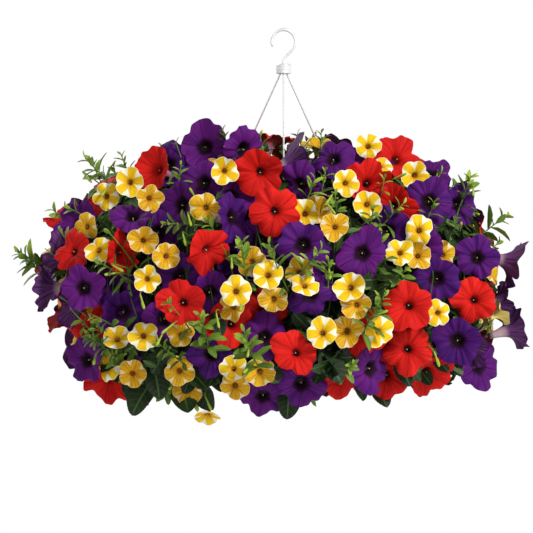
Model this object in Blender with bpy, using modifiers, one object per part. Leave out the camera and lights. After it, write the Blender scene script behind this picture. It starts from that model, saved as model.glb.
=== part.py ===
"""A hanging basket of petunias and calibrachoas, in metres, with +Z up.

The origin is the hanging point, at the top of the inside of the hook's bend. A hub under the hook holds three
rigid wires, which run down to the rim of a tapered pot. The pot holds potting soil, and every flowering shoot
rises from the soil, arches outwards and ends on a mound that hides the pot. +X runs to the right along the
mound's width, and the front of the mound faces -Y.
"""

import math
import random

import bmesh
import bpy
import numpy as np
from mathutils import Matrix, Vector
from mathutils.kdtree import KDTree

MM = 0.001
GAP = 0.3 * MM

# Hook and hub
HOOK_ROD = 3.6 * MM
HOOK_BEND_INSIDE = 12 * MM
HOOK_MOUTH_DEG = 205
HUB_TOP = -38 * MM
HUB_HEIGHT = 12 * MM
HUB_RADIUS = 9 * MM
HUB_CHAMFER = 1.5 * MM

# Hanger wires
WIRE_DIAMETER = 2 * MM
WIRE_TOP_RADIUS = 4.5 * MM
WIRE_IN_HUB = 6 * MM
WIRE_ANGLES_DEG = (-90, 30, 150)
WIRE_HOLE = 5 * MM
WIRE_BEND = 5 * MM

# Pot and soil
RIM_Z = -281 * MM
RIM_RADIUS = 129 * MM
RIM_FLANGE = 13 * MM
WALL = 2 * MM
POT_HEIGHT = 127 * MM
BASE_RADIUS = 88 * MM
BASE_CORNER = 8 * MM
DRAIN_HOLES = 6
DRAIN_HOLE = 9 * MM
DRAIN_RING_RADIUS = 58 * MM
SOIL_DEPTH_BELOW_RIM = 11 * MM
TURNED_STEPS = 36
CUTTER_TWIST = math.radians(11)

# The mound: an ellipsoid about its own centre, taller above the middle than below it
MOUND_X = -17 * MM
MOUND_Z = -314 * MM
MOUND_HALF_WIDTH = 296 * MM
MOUND_HALF_DEPTH = 256 * MM
MOUND_RISE = 192 * MM
MOUND_DROP = 152 * MM

# The plan of the front is drawn as seen from this far in front, from slightly above
EYE_DISTANCE = 5.0
EYE_SLOPE = math.tan(math.radians(3))

# Shoots leave the soil as if from a point below it, and open out like a fountain
ROOT_DEPTH = 60 * MM
CROWN_SHARE = 0.49
STEM_ABOVE_SOIL = 2.2 * MM
ARCH = 75 * MM
ARCH_FROM = math.radians(62)
BRANCH_FROM = 0.5
SWAYS_DEG = (0, 4, -4, 8, -8, 12, -12, 16, -16, 20, -20, 25, -25, 30, -30)
STEM_ROOM = 4.6 * MM
LEAF_ROOM = 3 * MM
SEED = 20

# Distance behind the bloom's face and radius there, from the stalk to the rim, and the dimple of the throat
PETUNIA_PROFILE = ((29, 1.8), (24, 3.6), (5, 7.5), (0, 25))
CALIBRACHOA_PROFILE = ((16, 1.2), (13, 2.4), (2.5, 5), (0, 15))
BUD_PROFILE = ((9, 1.2), (4, 2), (0, 0.8))
KINDS = {
    "purple_petunia": {
        "profile": PETUNIA_PROFILE, "dimple": 5, "stem": 1.8,
        "leaf": (38, 22), "leaf_shares": (0.66, 0.88),
        "colour": (0.06, 0.012, 0.22), "roughness": 0.6,
    },
    "red_petunia": {
        "profile": PETUNIA_PROFILE, "dimple": 5, "stem": 1.8,
        "leaf": (38, 22), "leaf_shares": (0.66, 0.88),
        "colour": (0.62, 0.01, 0.012), "roughness": 0.6,
    },
    "yellow_calibrachoa": {
        "profile": CALIBRACHOA_PROFILE, "dimple": 3, "stem": 1.3,
        "leaf": (26, 9), "leaf_shares": (0.66, 0.88),
        "colour": (0.85, 0.6, 0.08), "roughness": 0.65,
    },
    "calibrachoa_leafy": {
        "profile": BUD_PROFILE, "dimple": 0, "stem": 1.3,
        "leaf": (28, 9), "leaf_shares": (0.72, 0.8, 0.87, 0.94, 0.99),
        "colour": (0.16, 0.32, 0.03), "roughness": 0.55,
    },
}

# Front shoots. A bloom's row: across, height and depth inside the mound in mm, how far it faces right, and up
FRONT_SHOOTS = (
    ("purple_petunia", ((-92, -134, 10, 0, 0.15), (-43, -139, 25, 0.45, -0.2))),
    ("purple_petunia", ((-177, -213, 10, -0.2, 0.5),)),
    ("purple_petunia", ((-56, -215, 16, 0.6, 0), (-95, -175, 42, -0.2, 0.2))),
    ("purple_petunia", ((57, -146, 12, 0, 0.25), (18, -147, 34, 0.35, 0.5))),
    ("purple_petunia", ((23, -249, 10, 0, 0.1), (31, -309, 12, 0, -0.3))),
    ("purple_petunia", ((92, -257, 4, 0.05, 0.05),)),
    ("purple_petunia", ((170, -197, 6, 0.1, 0.3), (205, -201, 26, 0.5, 0.1))),
    ("purple_petunia", ((228, -263, 2, 0.15, 0), (262, -272, 30, 0.85, -0.15))),
    ("purple_petunia", ((180, -288, 28, 0, 0),)),
    ("purple_petunia", ((-235, -299, 2, -0.1, 0.1), (-252, -318, 34, -0.8, 0))),
    ("purple_petunia", ((-186, -328, 38, 0.3, -0.1),)),
    ("purple_petunia", ((-124, -283, 36, -0.3, 0.3),)),
    ("purple_petunia", ((-19, -359, 20, 0.1, 0), (-24, -428, 20, 0, -0.5))),
    ("purple_petunia", ((-86, -377, 22, -0.1, 0),)),
    ("purple_petunia", ((-232, -384, 10, -0.6, 0),)),
    ("purple_petunia", ((22, -412, 12, 0, -0.3),)),
    ("purple_petunia", ((203, -361, 2, -0.05, 0), (232, -392, 26, 0.5, -0.1), (262, -349, 30, 0.8, 0.2))),
    ("red_petunia", ((-149, -160, 16, -0.2, 0.3),)),
    ("red_petunia", ((-27, -165, 14, 0.05, -0.1), (-10, -210, 0, 0, 0.05))),
    ("red_petunia", ((-249, -254, 8, -0.2, 0.25), (-187, -257, 26, 0.4, 0))),
    ("red_petunia", ((135, -143, 14, 0, -0.2),)),
    ("red_petunia", ((-119, -316, 2, 0, 0), (-87, -256, 12, 0.3, -0.25))),
    ("red_petunia", ((13, -374, 4, 0, 0), (-61, -341, 36, 0, 0), (66, -410, 26, 0.1, -0.5))),
    ("red_petunia", ((146, -318, 6, 0, 0),)),
    ("red_petunia", ((222, -313, 6, 0.1, 0),)),
    ("red_petunia", ((144, -371, 10, 0, 0), (92, -350, 34, -0.1, 0), (170, -410, 26, 0.1, -0.6))),
    ("red_petunia", ((-205, -410, 18, -0.1, -0.5),)),
    ("yellow_calibrachoa", ((-180, -175, 2, 0, 0.15), (-208, -192, 14, -0.3, 0.2), (-157, -194, -2, 0.1, 0.1))),
    ("yellow_calibrachoa", ((-68, -162, 2, 0, 0.1), (-92, -205, 6, -0.1, 0.1))),
    ("yellow_calibrachoa", ((-137, -261, 2, 0, 0.1), (-160, -288, 4, 0, 0), (-217, -253, 4, -0.1, 0.35))),
    ("yellow_calibrachoa", ((23, -212, 6, 0, 0.1), (60, -227, 4, 0.05, 0.1))),
    ("yellow_calibrachoa", ((99, -133, 4, 0, 0.2), (73, -176, 0, 0.05, 0.15))),
    ("yellow_calibrachoa", ((154, -168, 4, 0.2, 0.1), (136, -257, 0, 0, 0.1), (158, -231, 6, 0.1, 0.3))),
    ("yellow_calibrachoa", ((-19, -282, 6, 0, 0.3), (-56, -302, 4, -0.1, 0.1), (-12, -312, 12, 0, -0.1))),
    ("yellow_calibrachoa", ((77, -297, 4, 0, 0.3), (85, -318, 10, 0, 0), (45, -351, 2, 0, 0.1))),
    ("yellow_calibrachoa", ((180, -328, 0, 0, 0),)),
    ("yellow_calibrachoa", ((-164, -354, 4, 0.1, 0.2), (-195, -357, 6, -0.1, 0.6), (-177, -399, 4, 0, -0.1))),
    ("yellow_calibrachoa", ((-122, -396, 2, 0, -0.1), (-120, -352, 10, 0, 0.1))),
    ("yellow_calibrachoa", ((-59, -392, 6, 0, 0.3), (-27, -398, 4, 0.1, -0.2), (-57, -414, 8, -0.1, -0.2))),
    ("calibrachoa_leafy", ((-312, -256, 0, -0.9, 0.2), (-270, -208, 0, -0.6, 0.6))),
    ("calibrachoa_leafy", ((-226, -150, 0, -0.5, 0.7), (-255, -206, 20, -0.7, 0.5))),
    ("calibrachoa_leafy", ((218, -170, 0, 0.6, 0.6), (262, -214, 0, 0.8, 0.4))),
)

# Rear shoots stand in rows: the angle from the mound's top, the shoots, the first and last azimuth, the depth
REAR_ROWS = ((31, 2, 52, 128, 6), (58, 4, 20, 160, 6), (87, 3, 38, 138, 8), (115, 3, 46, 134, 26))
REAR_KINDS = ("purple_petunia", "red_petunia", "yellow_calibrachoa", "red_petunia", "purple_petunia")
REAR_SPREAD = {"purple_petunia": 0.21, "red_petunia": 0.21, "yellow_calibrachoa": 0.13}


def clear_scene():
    for old in list(bpy.data.objects):
        bpy.data.objects.remove(old, do_unlink=True)


def new_collection(name):
    collection = bpy.data.collections.new(name)
    bpy.context.scene.collection.children.link(collection)
    return collection


def add_material(obj, colour, roughness, metallic=0.0):
    material = bpy.data.materials.new(obj.name)
    material.use_nodes = True
    shader = material.node_tree.nodes["Principled BSDF"]
    shader.inputs["Base Color"].default_value = (*colour, 1)
    shader.inputs["Roughness"].default_value = roughness
    shader.inputs["Metallic"].default_value = metallic
    obj.data.materials.append(material)


def place(obj, collection):
    collection.objects.link(obj)
    return obj


def hide_helper(obj):
    obj.hide_render = True
    obj.display_type = "WIRE"
    return obj


def mesh_object(name, shape, collection):
    """An object from a bmesh, which is freed."""
    mesh = bpy.data.meshes.new(name)
    shape.to_mesh(mesh)
    shape.free()
    return place(bpy.data.objects.new(name, mesh), collection)


def boolean(obj, other, operation):
    modifier = obj.modifiers.new(other.name, "BOOLEAN")
    modifier.operation = operation
    modifier.solver = "EXACT"
    modifier.object = other


def turned(name, profile, collection):
    """A (radius, height) outline turned about Z, open only along the axis. It runs down its outer side."""
    mesh = bpy.data.meshes.new(name)
    points = [(radius, 0, height) for radius, height in profile]
    around = [(i, (i + 1) % len(points)) for i in range(len(points))]
    edges = [(a, b) for a, b in around if profile[a][0] > 0 or profile[b][0] > 0]
    mesh.from_pydata(points, edges, [])
    obj = place(bpy.data.objects.new(name, mesh), collection)
    screw = obj.modifiers.new("turn", "SCREW")
    screw.steps = TURNED_STEPS
    screw.render_steps = TURNED_STEPS
    screw.use_merge_vertices = True
    screw.merge_threshold = 0.01 * MM
    return obj


def rod(name, points, diameter, collection):
    """A round wire along the points."""
    curve = bpy.data.curves.new(name, "CURVE")
    curve.dimensions = "3D"
    curve.bevel_depth = diameter / 2
    curve.bevel_resolution = 2
    curve.use_fill_caps = True
    spline = curve.splines.new("POLY")
    spline.points.add(len(points) - 1)
    for target, point in zip(spline.points, points):
        target.co = (*point, 1)
    return place(bpy.data.objects.new(name, curve), collection)


def as_mesh(curve_object, collection):
    """The curve object made a closed mesh object of the same name."""
    bpy.context.view_layer.update()
    graph = bpy.context.evaluated_depsgraph_get()
    mesh = bpy.data.meshes.new_from_object(curve_object.evaluated_get(graph))
    shape = bmesh.new()
    shape.from_mesh(mesh)
    bmesh.ops.remove_doubles(shape, verts=shape.verts, dist=0.01 * MM)
    bmesh.ops.recalc_face_normals(shape, faces=shape.faces)
    shape.to_mesh(mesh)
    shape.free()
    name = curve_object.name
    matrix = curve_object.matrix_world.copy()
    bpy.data.objects.remove(curve_object, do_unlink=True)
    obj = place(bpy.data.objects.new(name, mesh), collection)
    obj.matrix_world = matrix
    return obj


def arc(centre, radius, start_deg, end_deg, count):
    """Points of an arc in the XZ plane, with angles from +X towards +Z."""
    angles = np.radians(np.linspace(start_deg, end_deg, count))
    return [(centre[0] + radius * math.cos(a), 0, centre[1] + radius * math.sin(a)) for a in angles]


def wire_hole_radius():
    return RIM_RADIUS - RIM_FLANGE / 2


def make_hook(parts, helpers):
    """A bent rod over a turned hub, with a socket under it for each wire."""
    bend_radius = HOOK_BEND_INSIDE + HOOK_ROD / 2
    bend_z = -HOOK_BEND_INSIDE
    over = arc((0, bend_z), bend_radius, -20, HOOK_MOUTH_DEG, 19)
    shank = [(0, 0, HUB_TOP - HUB_HEIGHT / 2), (0, 0, HUB_TOP + 2 * MM), (3 * MM, 0, HUB_TOP + 8 * MM)]
    rod_object = as_mesh(rod("hook_rod", shank + over, HOOK_ROD, helpers), helpers)
    profile = (
        (0, HUB_TOP),
        (HUB_RADIUS - HUB_CHAMFER, HUB_TOP),
        (HUB_RADIUS, HUB_TOP - HUB_CHAMFER),
        (HUB_RADIUS, HUB_TOP - HUB_HEIGHT + HUB_CHAMFER),
        (HUB_RADIUS - HUB_CHAMFER, HUB_TOP - HUB_HEIGHT),
        (0, HUB_TOP - HUB_HEIGHT),
    )
    hook = turned("hanger_hook", profile, parts)
    boolean(hook, hide_helper(rod_object), "UNION")
    for number, angle in enumerate(WIRE_ANGLES_DEG, 1):
        socket_points = wire_points(angle, WIRE_IN_HUB + 1 * MM)[-2:]
        start, end = (Vector(p) for p in socket_points)
        longer = [start - (end - start).normalized() * 2 * MM, end]
        cutter = as_mesh(rod(f"socket_{number}", longer, WIRE_DIAMETER + 2 * GAP, helpers), helpers)
        boolean(hook, hide_helper(cutter), "DIFFERENCE")
    add_material(hook, (0.62, 0.63, 0.62), 0.35, 0.9)


def wire_points(angle_deg, into_hub):
    """From the free end outside the rim, round under the flange, up through its hole and on into the hub."""
    hole = wire_hole_radius()
    under = RIM_Z - WALL - WIRE_DIAMETER - GAP
    turn = [
        (hole + WIRE_BEND * (1 + math.cos(a)), under + WIRE_BEND * math.sin(a))
        for a in np.radians(np.linspace(0, -180, 7))
    ]
    flat = [(hole + 2 * WIRE_BEND, RIM_Z + 1 * MM), *turn, (hole, RIM_Z + WIRE_BEND)]
    top = (WIRE_TOP_RADIUS, HUB_TOP - HUB_HEIGHT)
    run = np.array(top) - np.array(flat[-1])
    end = np.array(top) + run / np.linalg.norm(run) * into_hub
    flat += [top, tuple(end)]
    angle = math.radians(angle_deg)
    return [(radius * math.cos(angle), radius * math.sin(angle), height) for radius, height in flat]


def make_wires(parts):
    for number, angle in enumerate(WIRE_ANGLES_DEG, 1):
        wire = rod(f"hanger_wire_{number}", wire_points(angle, WIRE_IN_HUB), WIRE_DIAMETER, parts)
        add_material(wire, (0.7, 0.71, 0.7), 0.35, 0.9)


def pot_radius(height):
    """The radius of the pot's tapered outer wall at a height."""
    share = (RIM_Z - height) / POT_HEIGHT
    return (RIM_RADIUS - RIM_FLANGE) * (1 - share) + BASE_RADIUS * share


def make_pot(parts, helpers):
    """A turned, tapered pot with a flat flange at its rim, with drain holes and holes for the wires."""
    base_z = RIM_Z - POT_HEIGHT
    top = RIM_RADIUS - RIM_FLANGE
    flat_radius = BASE_RADIUS - BASE_CORNER
    corner = [
        (flat_radius + BASE_CORNER * math.cos(a), base_z + BASE_CORNER * (1 + math.sin(a)))
        for a in np.radians((0, -30, -60, -90))
    ]
    profile = [
        (RIM_RADIUS, RIM_Z), (RIM_RADIUS, RIM_Z - WALL), (top, RIM_Z - WALL),
        *corner, (0, base_z), (0, base_z + WALL),
        (flat_radius, base_z + WALL), (BASE_RADIUS - WALL, base_z + BASE_CORNER),
        (top - WALL, RIM_Z),
    ]
    pot = turned("basket", profile, parts)
    cutters = [
        ("drain", DRAIN_HOLE, DRAIN_RING_RADIUS, base_z, 360 * i / DRAIN_HOLES) for i in range(DRAIN_HOLES)
    ]
    cutters += [("wire_hole", WIRE_HOLE, wire_hole_radius(), RIM_Z, angle) for angle in WIRE_ANGLES_DEG]
    for number, (name, diameter, radius, height, angle) in enumerate(cutters, 1):
        shape = bmesh.new()
        bmesh.ops.create_cone(
            shape, cap_ends=True, segments=12, radius1=diameter / 2, radius2=diameter / 2, depth=6 * WALL,
        )
        cutter = hide_helper(mesh_object(f"{name}_{number}", shape, helpers))
        turn = math.radians(angle)
        cutter.location = (radius * math.cos(turn), radius * math.sin(turn), height)
        cutter.rotation_euler.z = turn + CUTTER_TWIST
        boolean(pot, cutter, "DIFFERENCE")
    add_material(pot, (0.02, 0.035, 0.02), 0.5)


def make_soil(parts):
    """The soil fills the pot to just below its rim, clear of the wall."""
    inset = WALL + GAP + 0.5 * MM
    top = RIM_Z - SOIL_DEPTH_BELOW_RIM
    bottom = RIM_Z - POT_HEIGHT + WALL + 2 * GAP
    knee = RIM_Z - POT_HEIGHT + BASE_CORNER
    profile = (
        (0, top), (pot_radius(top) - inset, top), (pot_radius(knee) - 2 * inset, knee),
        (BASE_RADIUS - BASE_CORNER - inset, bottom), (0, bottom),
    )
    add_material(turned("potting_soil", profile, parts), (0.035, 0.02, 0.012), 0.95)


def front_point(across, height, deep):
    """The point of the mound's front seen at this place, moved deep inside it."""
    half = MOUND_RISE if height > MOUND_Z else MOUND_DROP
    left = 1 - ((across - MOUND_X) / MOUND_HALF_WIDTH) ** 2 - ((height - MOUND_Z) / half) ** 2
    y = -MOUND_HALF_DEPTH * math.sqrt(max(left, 0.03)) + deep
    nearer = 1 + y / EYE_DISTANCE
    x = MOUND_X + (across - MOUND_X) * nearer
    z = MOUND_Z + (height - MOUND_Z) * nearer - y * EYE_SLOPE
    return Vector((x, y, z))


def rear_point(angle, azimuth, deep):
    """A point of the mound's rear, by its angle from the top and azimuth from +X, and the way out there."""
    half = MOUND_RISE if angle < math.pi / 2 else MOUND_DROP
    out = Vector((
        math.sin(angle) * math.cos(azimuth), math.sin(angle) * math.sin(azimuth), math.cos(angle),
    ))
    x = MOUND_X + out.x * (MOUND_HALF_WIDTH - deep)
    return Vector((x, out.y * (MOUND_HALF_DEPTH - deep), MOUND_Z + out.z * (half - deep))), out


def fountain(end, share, sway):
    """The point at this share of the line from the soil to end.

    The angle from the vertical opens with the share squared, and the distance from the root point grows fast
    at first, with an extra arch on lines that end low, which lifts them over the rim. The line stands in
    end's upright plane, or turns into it from sway to one side.
    """
    root_z = RIM_Z - SOIL_DEPTH_BELOW_RIM - ROOT_DEPTH
    across = math.hypot(end.x, end.y)
    angle_end = math.atan2(across, end.z - root_z)
    reach_end = math.hypot(across, end.z - root_z)
    angle_start = angle_end * CROWN_SHARE
    reach_start = (ROOT_DEPTH + STEM_ABOVE_SOIL) / math.cos(angle_start)
    arch = ARCH * max(0, angle_end - ARCH_FROM)
    angle = angle_start + (angle_end - angle_start) * share**2
    reach = reach_start + (reach_end - reach_start) * (1 - (1 - share) ** 2)
    reach += arch * math.sin(math.pi * share)
    azimuth = math.atan2(end.y, end.x) + sway * (1 - share)
    out = reach * math.sin(angle)
    return Vector((out * math.cos(azimuth), out * math.sin(azimuth), root_z + reach * math.cos(angle)))


class Bloom:
    """One bloom on its stalk: the path from where the stalk starts to the bloom's face."""

    def __init__(self, kind, face, way):
        self.kind = KINDS[kind]
        self.face = face
        self.way = way.normalized()
        self.base = face - self.way * (self.kind["profile"][0][0] + 8) * MM
        self.sway = 0

    def stem(self, main, shares):
        """Points of the stalk: its own fountain line, or one that leaves the main stem's line."""
        points = []
        for share in shares:
            point = fountain(self.base, share, self.sway)
            if main is not self:
                blend = (share - BRANCH_FROM) / (1 - BRANCH_FROM)
                point = fountain(main.base, share, main.sway).lerp(point, blend * blend * (3 - 2 * blend))
            points.append(point)
        return points

    def stem_bends(self, main):
        """The points at which the stalk bends."""
        return self.stem(main, (0, 0.25, 0.5, 0.75, 1) if main is self else (BRANCH_FROM, 0.75, 1))

    def swept_points(self, main):
        """Points and radii of the whole stalk and bloom."""
        points = self.stem_bends(main)
        stem_radius = self.kind["stem"] * (1 if main is self else 0.8)
        radii = [stem_radius] * len(points)
        for behind, radius in self.kind["profile"]:
            points.append(self.face - self.way * behind * MM)
            radii.append(radius)
        return points, [radius * MM for radius in radii]

    def stem_samples(self, main):
        """Points close together along the stalk."""
        bends = self.stem_bends(main)
        steps = np.linspace(0, 1, 24, endpoint=False)
        return [a.lerp(b, step) for a, b in zip(bends, bends[1:] + [self.face]) for step in steps]

    def bloom_samples(self):
        """Points over the bloom, from its stalk to its rim."""
        side = self.way.orthogonal().normalized()
        other = self.way.cross(side)
        points = []
        for behind, radius in self.kind["profile"]:
            for turn in np.linspace(0, 2 * math.pi, 15, endpoint=False):
                around = side * math.cos(turn) + other * math.sin(turn)
                for share in (0, 0.3, 0.55, 0.8, 1):
                    points.append(self.face + around * radius * share * MM - self.way * behind * MM)
        return points


class Room:
    """What already stands in the mound, as sample points, each with its owner's number."""

    def __init__(self):
        self.points = []
        self.owners = []
        self.tree = None

    def add(self, points, owner):
        self.points.extend(points)
        self.owners.extend([owner] * len(points))
        self.tree = None

    def clashes(self, points, owner, gap):
        """How often the points come within the gap of what isn't their owner's."""
        if self.tree is None:
            self.tree = KDTree(len(self.points))
            for i, point in enumerate(self.points):
                self.tree.insert(point, i)
            self.tree.balance()
        return sum(
            self.owners[i] != owner for point in points for _, i, _ in self.tree.find_range(point, gap)
        )


def pentagon(helpers):
    """The five-sided section of stems and blooms, of radius 1."""
    curve = bpy.data.curves.new("section", "CURVE")
    spline = curve.splines.new("POLY")
    spline.points.add(4)
    for i, point in enumerate(spline.points):
        turn = 2 * math.pi * i / 5
        point.co = (math.cos(turn), math.sin(turn), 0, 1)
    spline.use_cyclic_u = True
    return hide_helper(place(bpy.data.objects.new("section", curve), helpers))


def swept(name, points, radii, section, collection):
    """The section carried along the points, scaled to the radius at each."""
    curve = bpy.data.curves.new(name, "CURVE")
    curve.dimensions = "3D"
    curve.bevel_mode = "OBJECT"
    curve.bevel_object = section
    curve.use_fill_caps = True
    spline = curve.splines.new("POLY")
    spline.points.add(len(points) - 1)
    for target, point, radius in zip(spline.points, points, radii):
        target.co = (*point, 1)
        target.radius = radius
    return as_mesh(place(bpy.data.objects.new(name, curve), collection), collection)


def dimple_face(obj, bloom):
    """Draws the bloom's flat face in at its middle, as a throat."""
    shape = bmesh.new()
    shape.from_mesh(obj.data)
    shape.faces.ensure_lookup_table()
    face = min(shape.faces, key=lambda f: (f.calc_center_median() - bloom.face).length)
    bmesh.ops.poke(shape, faces=[face], offset=-bloom.kind["dimple"] * MM)
    shape.to_mesh(obj.data)
    shape.free()


def leaf_sites(blooms, chance):
    """Where leaves may stand: a point of a stem, the way the leaf points, and its length and width."""
    main = blooms[0]
    length, width = main.kind["leaf"]
    for bloom in blooms:
        points, _ = bloom.swept_points(main)
        turn = chance.uniform(0, 2 * math.pi)
        for share in bloom.kind["leaf_shares"] if bloom is main else (0.8,):
            here, along = stem_site(points[:-len(bloom.kind["profile"])], share)
            turn += math.radians(137.5)
            side = along.orthogonal().normalized()
            side.rotate(Matrix.Rotation(turn, 3, along))
            size = chance.uniform(0.8, 1.1)
            yield here, (side + along * 0.5).normalized(), length * size * MM, width * size * MM


def stem_site(points, share):
    """The point at a share of a stem's bends, and the way the stem runs there."""
    step, part = divmod(share * (len(points) - 1), 1)
    here, ahead = points[int(step)], points[int(step) + 1]
    return here.lerp(ahead, part), (ahead - here).normalized()


def leaf_frame(here, way, length):
    """Rotation and centre of a leaf whose base is at here. Its face is turned up as far as it goes."""
    across = way.cross(Vector((0, 0, 1)))
    across = across.normalized() if across.length > 0.1 else way.orthogonal().normalized()
    turn = Matrix((way, across, way.cross(across))).transposed()
    return turn, here + way * (length / 2 - 1.5 * MM)


def leaf_blade(name, here, way, length, width, collection):
    """A flat four-sided blade, thickest in its middle."""
    turn, centre = leaf_frame(here, way, length)
    shape = bmesh.new()
    bmesh.ops.create_uvsphere(shape, u_segments=4, v_segments=2, radius=0.5)
    size = Matrix.Diagonal((length, width, 2.4 * MM, 1))
    bmesh.ops.transform(shape, matrix=Matrix.Translation(centre) @ turn.to_4x4() @ size, verts=shape.verts)
    bmesh.ops.recalc_face_normals(shape, faces=shape.faces)
    return hide_helper(mesh_object(name, shape, collection))


def leaf_samples(here, way, length, width):
    """Points over a leaf's blade, past where it joins its stem."""
    turn, centre = leaf_frame(here, way, length)
    grid = [Vector((length * u, width * v, 0)) for u in np.linspace(-0.35, 0.5, 7) for v in (-0.4, 0, 0.4)]
    return [turn @ point + centre for point in grid]


def in_pot(point):
    return point.z < RIM_Z + LEAF_ROOM and math.hypot(point.x, point.y) < RIM_RADIUS + LEAF_ROOM


def wire_samples():
    """Points along the straight runs of the three wires."""
    points = []
    for angle_deg in WIRE_ANGLES_DEG:
        start, end = (Vector(p) for p in wire_points(angle_deg, 0)[-3:-1])
        points.extend(start.lerp(end, share) for share in np.linspace(0, 1, 100))
    return points


def front_shoots():
    """Kind and blooms of each front shoot."""
    for kind, places in FRONT_SHOOTS:
        blooms = []
        for across, height, deep, right, up in places:
            way = Vector((right, -math.sqrt(1 - right**2 - up**2), up))
            blooms.append(Bloom(kind, front_point(across * MM, height * MM, deep * MM), way))
        yield kind, blooms


def rear_shoots():
    """Kind and blooms of each rear shoot: one bloom at its place in the row, and one to each side."""
    number = 0
    for angle_deg, count, first, last, row_deep in REAR_ROWS:
        for azimuth_deg in np.linspace(first, last, count):
            kind = REAR_KINDS[number % len(REAR_KINDS)]
            spread = REAR_SPREAD[kind]
            number += 1
            blooms = []
            for side, lower, deep in ((0, 0, 0), (1, 0.25, 14), (-1, 0.3, 10)):
                angle = math.radians(angle_deg) + lower * spread
                azimuth = math.radians(azimuth_deg) + side * spread / math.sin(angle)
                face, out = rear_point(angle, azimuth, (row_deep + deep) * MM)
                blooms.append(Bloom(kind, face, out + Vector((0, 0.2, 0.1))))
            yield kind, blooms


def lean_stems(shoots, room):
    """Leans each stalk aside, main stems first, to where it clashes least with blooms and other stalks."""
    mains = [(owner, blooms[0], blooms[0]) for owner, (_, blooms) in enumerate(shoots)]
    sides = [(owner, blooms[0], bloom) for owner, (_, blooms) in enumerate(shoots) for bloom in blooms[1:]]
    for owner, main, bloom in mains + sides:
        fewest = None
        for sway_deg in SWAYS_DEG:
            bloom.sway = math.radians(sway_deg)
            samples = bloom.stem_samples(main)
            clashes = room.clashes(samples, owner, STEM_ROOM)
            if fewest is None or clashes < fewest:
                fewest, best, best_samples = clashes, bloom.sway, samples
            if not clashes:
                break
        bloom.sway = best
        room.add(best_samples, owner)


def make_shoots(parts, helpers):
    """Every shoot: the main stem with its bloom, joined by its side blooms and the leaves that have room."""
    chance = random.Random(SEED)
    section = pentagon(helpers)
    shoots = list(front_shoots()) + list(rear_shoots())
    room = Room()
    room.add(wire_samples(), None)
    for owner, (_, blooms) in enumerate(shoots):
        for bloom in blooms:
            room.add(bloom.bloom_samples(), owner)
    lean_stems(shoots, room)
    numbers = dict.fromkeys(KINDS, 0)
    for owner, (kind, blooms) in enumerate(shoots):
        numbers[kind] += 1
        name = f"{kind}_shoot_{numbers[kind]:02d}"
        shoot = swept(name, *blooms[0].swept_points(blooms[0]), section, parts)
        dimple_face(shoot, blooms[0])
        for number, bloom in enumerate(blooms[1:], 1):
            side = swept(f"{name}_side_{number}", *bloom.swept_points(blooms[0]), section, helpers)
            dimple_face(side, bloom)
            boolean(shoot, hide_helper(side), "UNION")
        for number, site in enumerate(leaf_sites(blooms, chance), 1):
            samples = leaf_samples(*site)
            if not room.clashes(samples, owner, LEAF_ROOM) and not any(map(in_pot, samples)):
                boolean(shoot, leaf_blade(f"{name}_leaf_{number}", *site, helpers), "UNION")
                room.add(samples, owner)
        add_material(shoot, KINDS[kind]["colour"], KINDS[kind]["roughness"])


def main():
    clear_scene()
    parts = new_collection("petunia_hanging_basket")
    helpers = new_collection("helpers")
    make_hook(parts, helpers)
    make_wires(parts)
    make_pot(parts, helpers)
    make_soil(parts)
    make_shoots(parts, helpers)


main()
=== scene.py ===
import math

import bpy
import numpy as np
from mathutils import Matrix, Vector


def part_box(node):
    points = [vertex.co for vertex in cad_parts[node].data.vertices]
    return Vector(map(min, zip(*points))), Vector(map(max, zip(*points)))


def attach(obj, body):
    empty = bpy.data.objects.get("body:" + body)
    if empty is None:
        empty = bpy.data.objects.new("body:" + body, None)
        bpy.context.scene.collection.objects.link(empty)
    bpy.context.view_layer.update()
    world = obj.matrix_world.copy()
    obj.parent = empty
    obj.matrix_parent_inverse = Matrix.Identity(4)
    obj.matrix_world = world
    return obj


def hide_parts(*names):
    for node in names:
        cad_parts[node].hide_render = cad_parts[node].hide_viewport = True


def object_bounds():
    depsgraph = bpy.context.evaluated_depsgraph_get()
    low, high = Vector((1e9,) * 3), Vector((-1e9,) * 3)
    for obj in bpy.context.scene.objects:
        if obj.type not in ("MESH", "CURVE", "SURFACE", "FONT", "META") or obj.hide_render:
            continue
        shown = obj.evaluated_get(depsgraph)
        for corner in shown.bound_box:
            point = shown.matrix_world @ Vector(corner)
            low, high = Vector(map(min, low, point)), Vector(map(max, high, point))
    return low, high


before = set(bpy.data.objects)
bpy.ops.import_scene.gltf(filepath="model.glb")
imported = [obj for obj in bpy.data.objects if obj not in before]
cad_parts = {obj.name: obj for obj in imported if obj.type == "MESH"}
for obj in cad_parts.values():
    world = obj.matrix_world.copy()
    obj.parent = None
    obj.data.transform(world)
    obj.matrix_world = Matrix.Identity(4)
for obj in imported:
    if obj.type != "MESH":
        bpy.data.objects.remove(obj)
CAD_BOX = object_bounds()

# Geometry is worked out in millimetres and turned into metres as a mesh is made.
MM = 0.001
TURN = 2 * math.pi
GOLDEN_ANGLE = TURN * 0.381966
chance = np.random.default_rng(31)


def box_mm(node):
    """Lowest and highest corner of a frame node, in millimetres."""
    low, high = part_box(node)
    return np.array(low) / MM, np.array(high) / MM


POT_LOW, POT_HIGH = box_mm("basket")
SOIL_LOW, SOIL_HIGH = box_mm("potting_soil")
RIM_Z = POT_HIGH[2]
SOIL_Z = SOIL_HIGH[2]
ROOM = 0.03 * (np.array(CAD_BOX[1]) - np.array(CAD_BOX[0])) / MM + 8
ROOM_LOW = np.array(CAD_BOX[0]) / MM - ROOM
ROOM_HIGH = np.array(CAD_BOX[1]) / MM + ROOM

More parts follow.
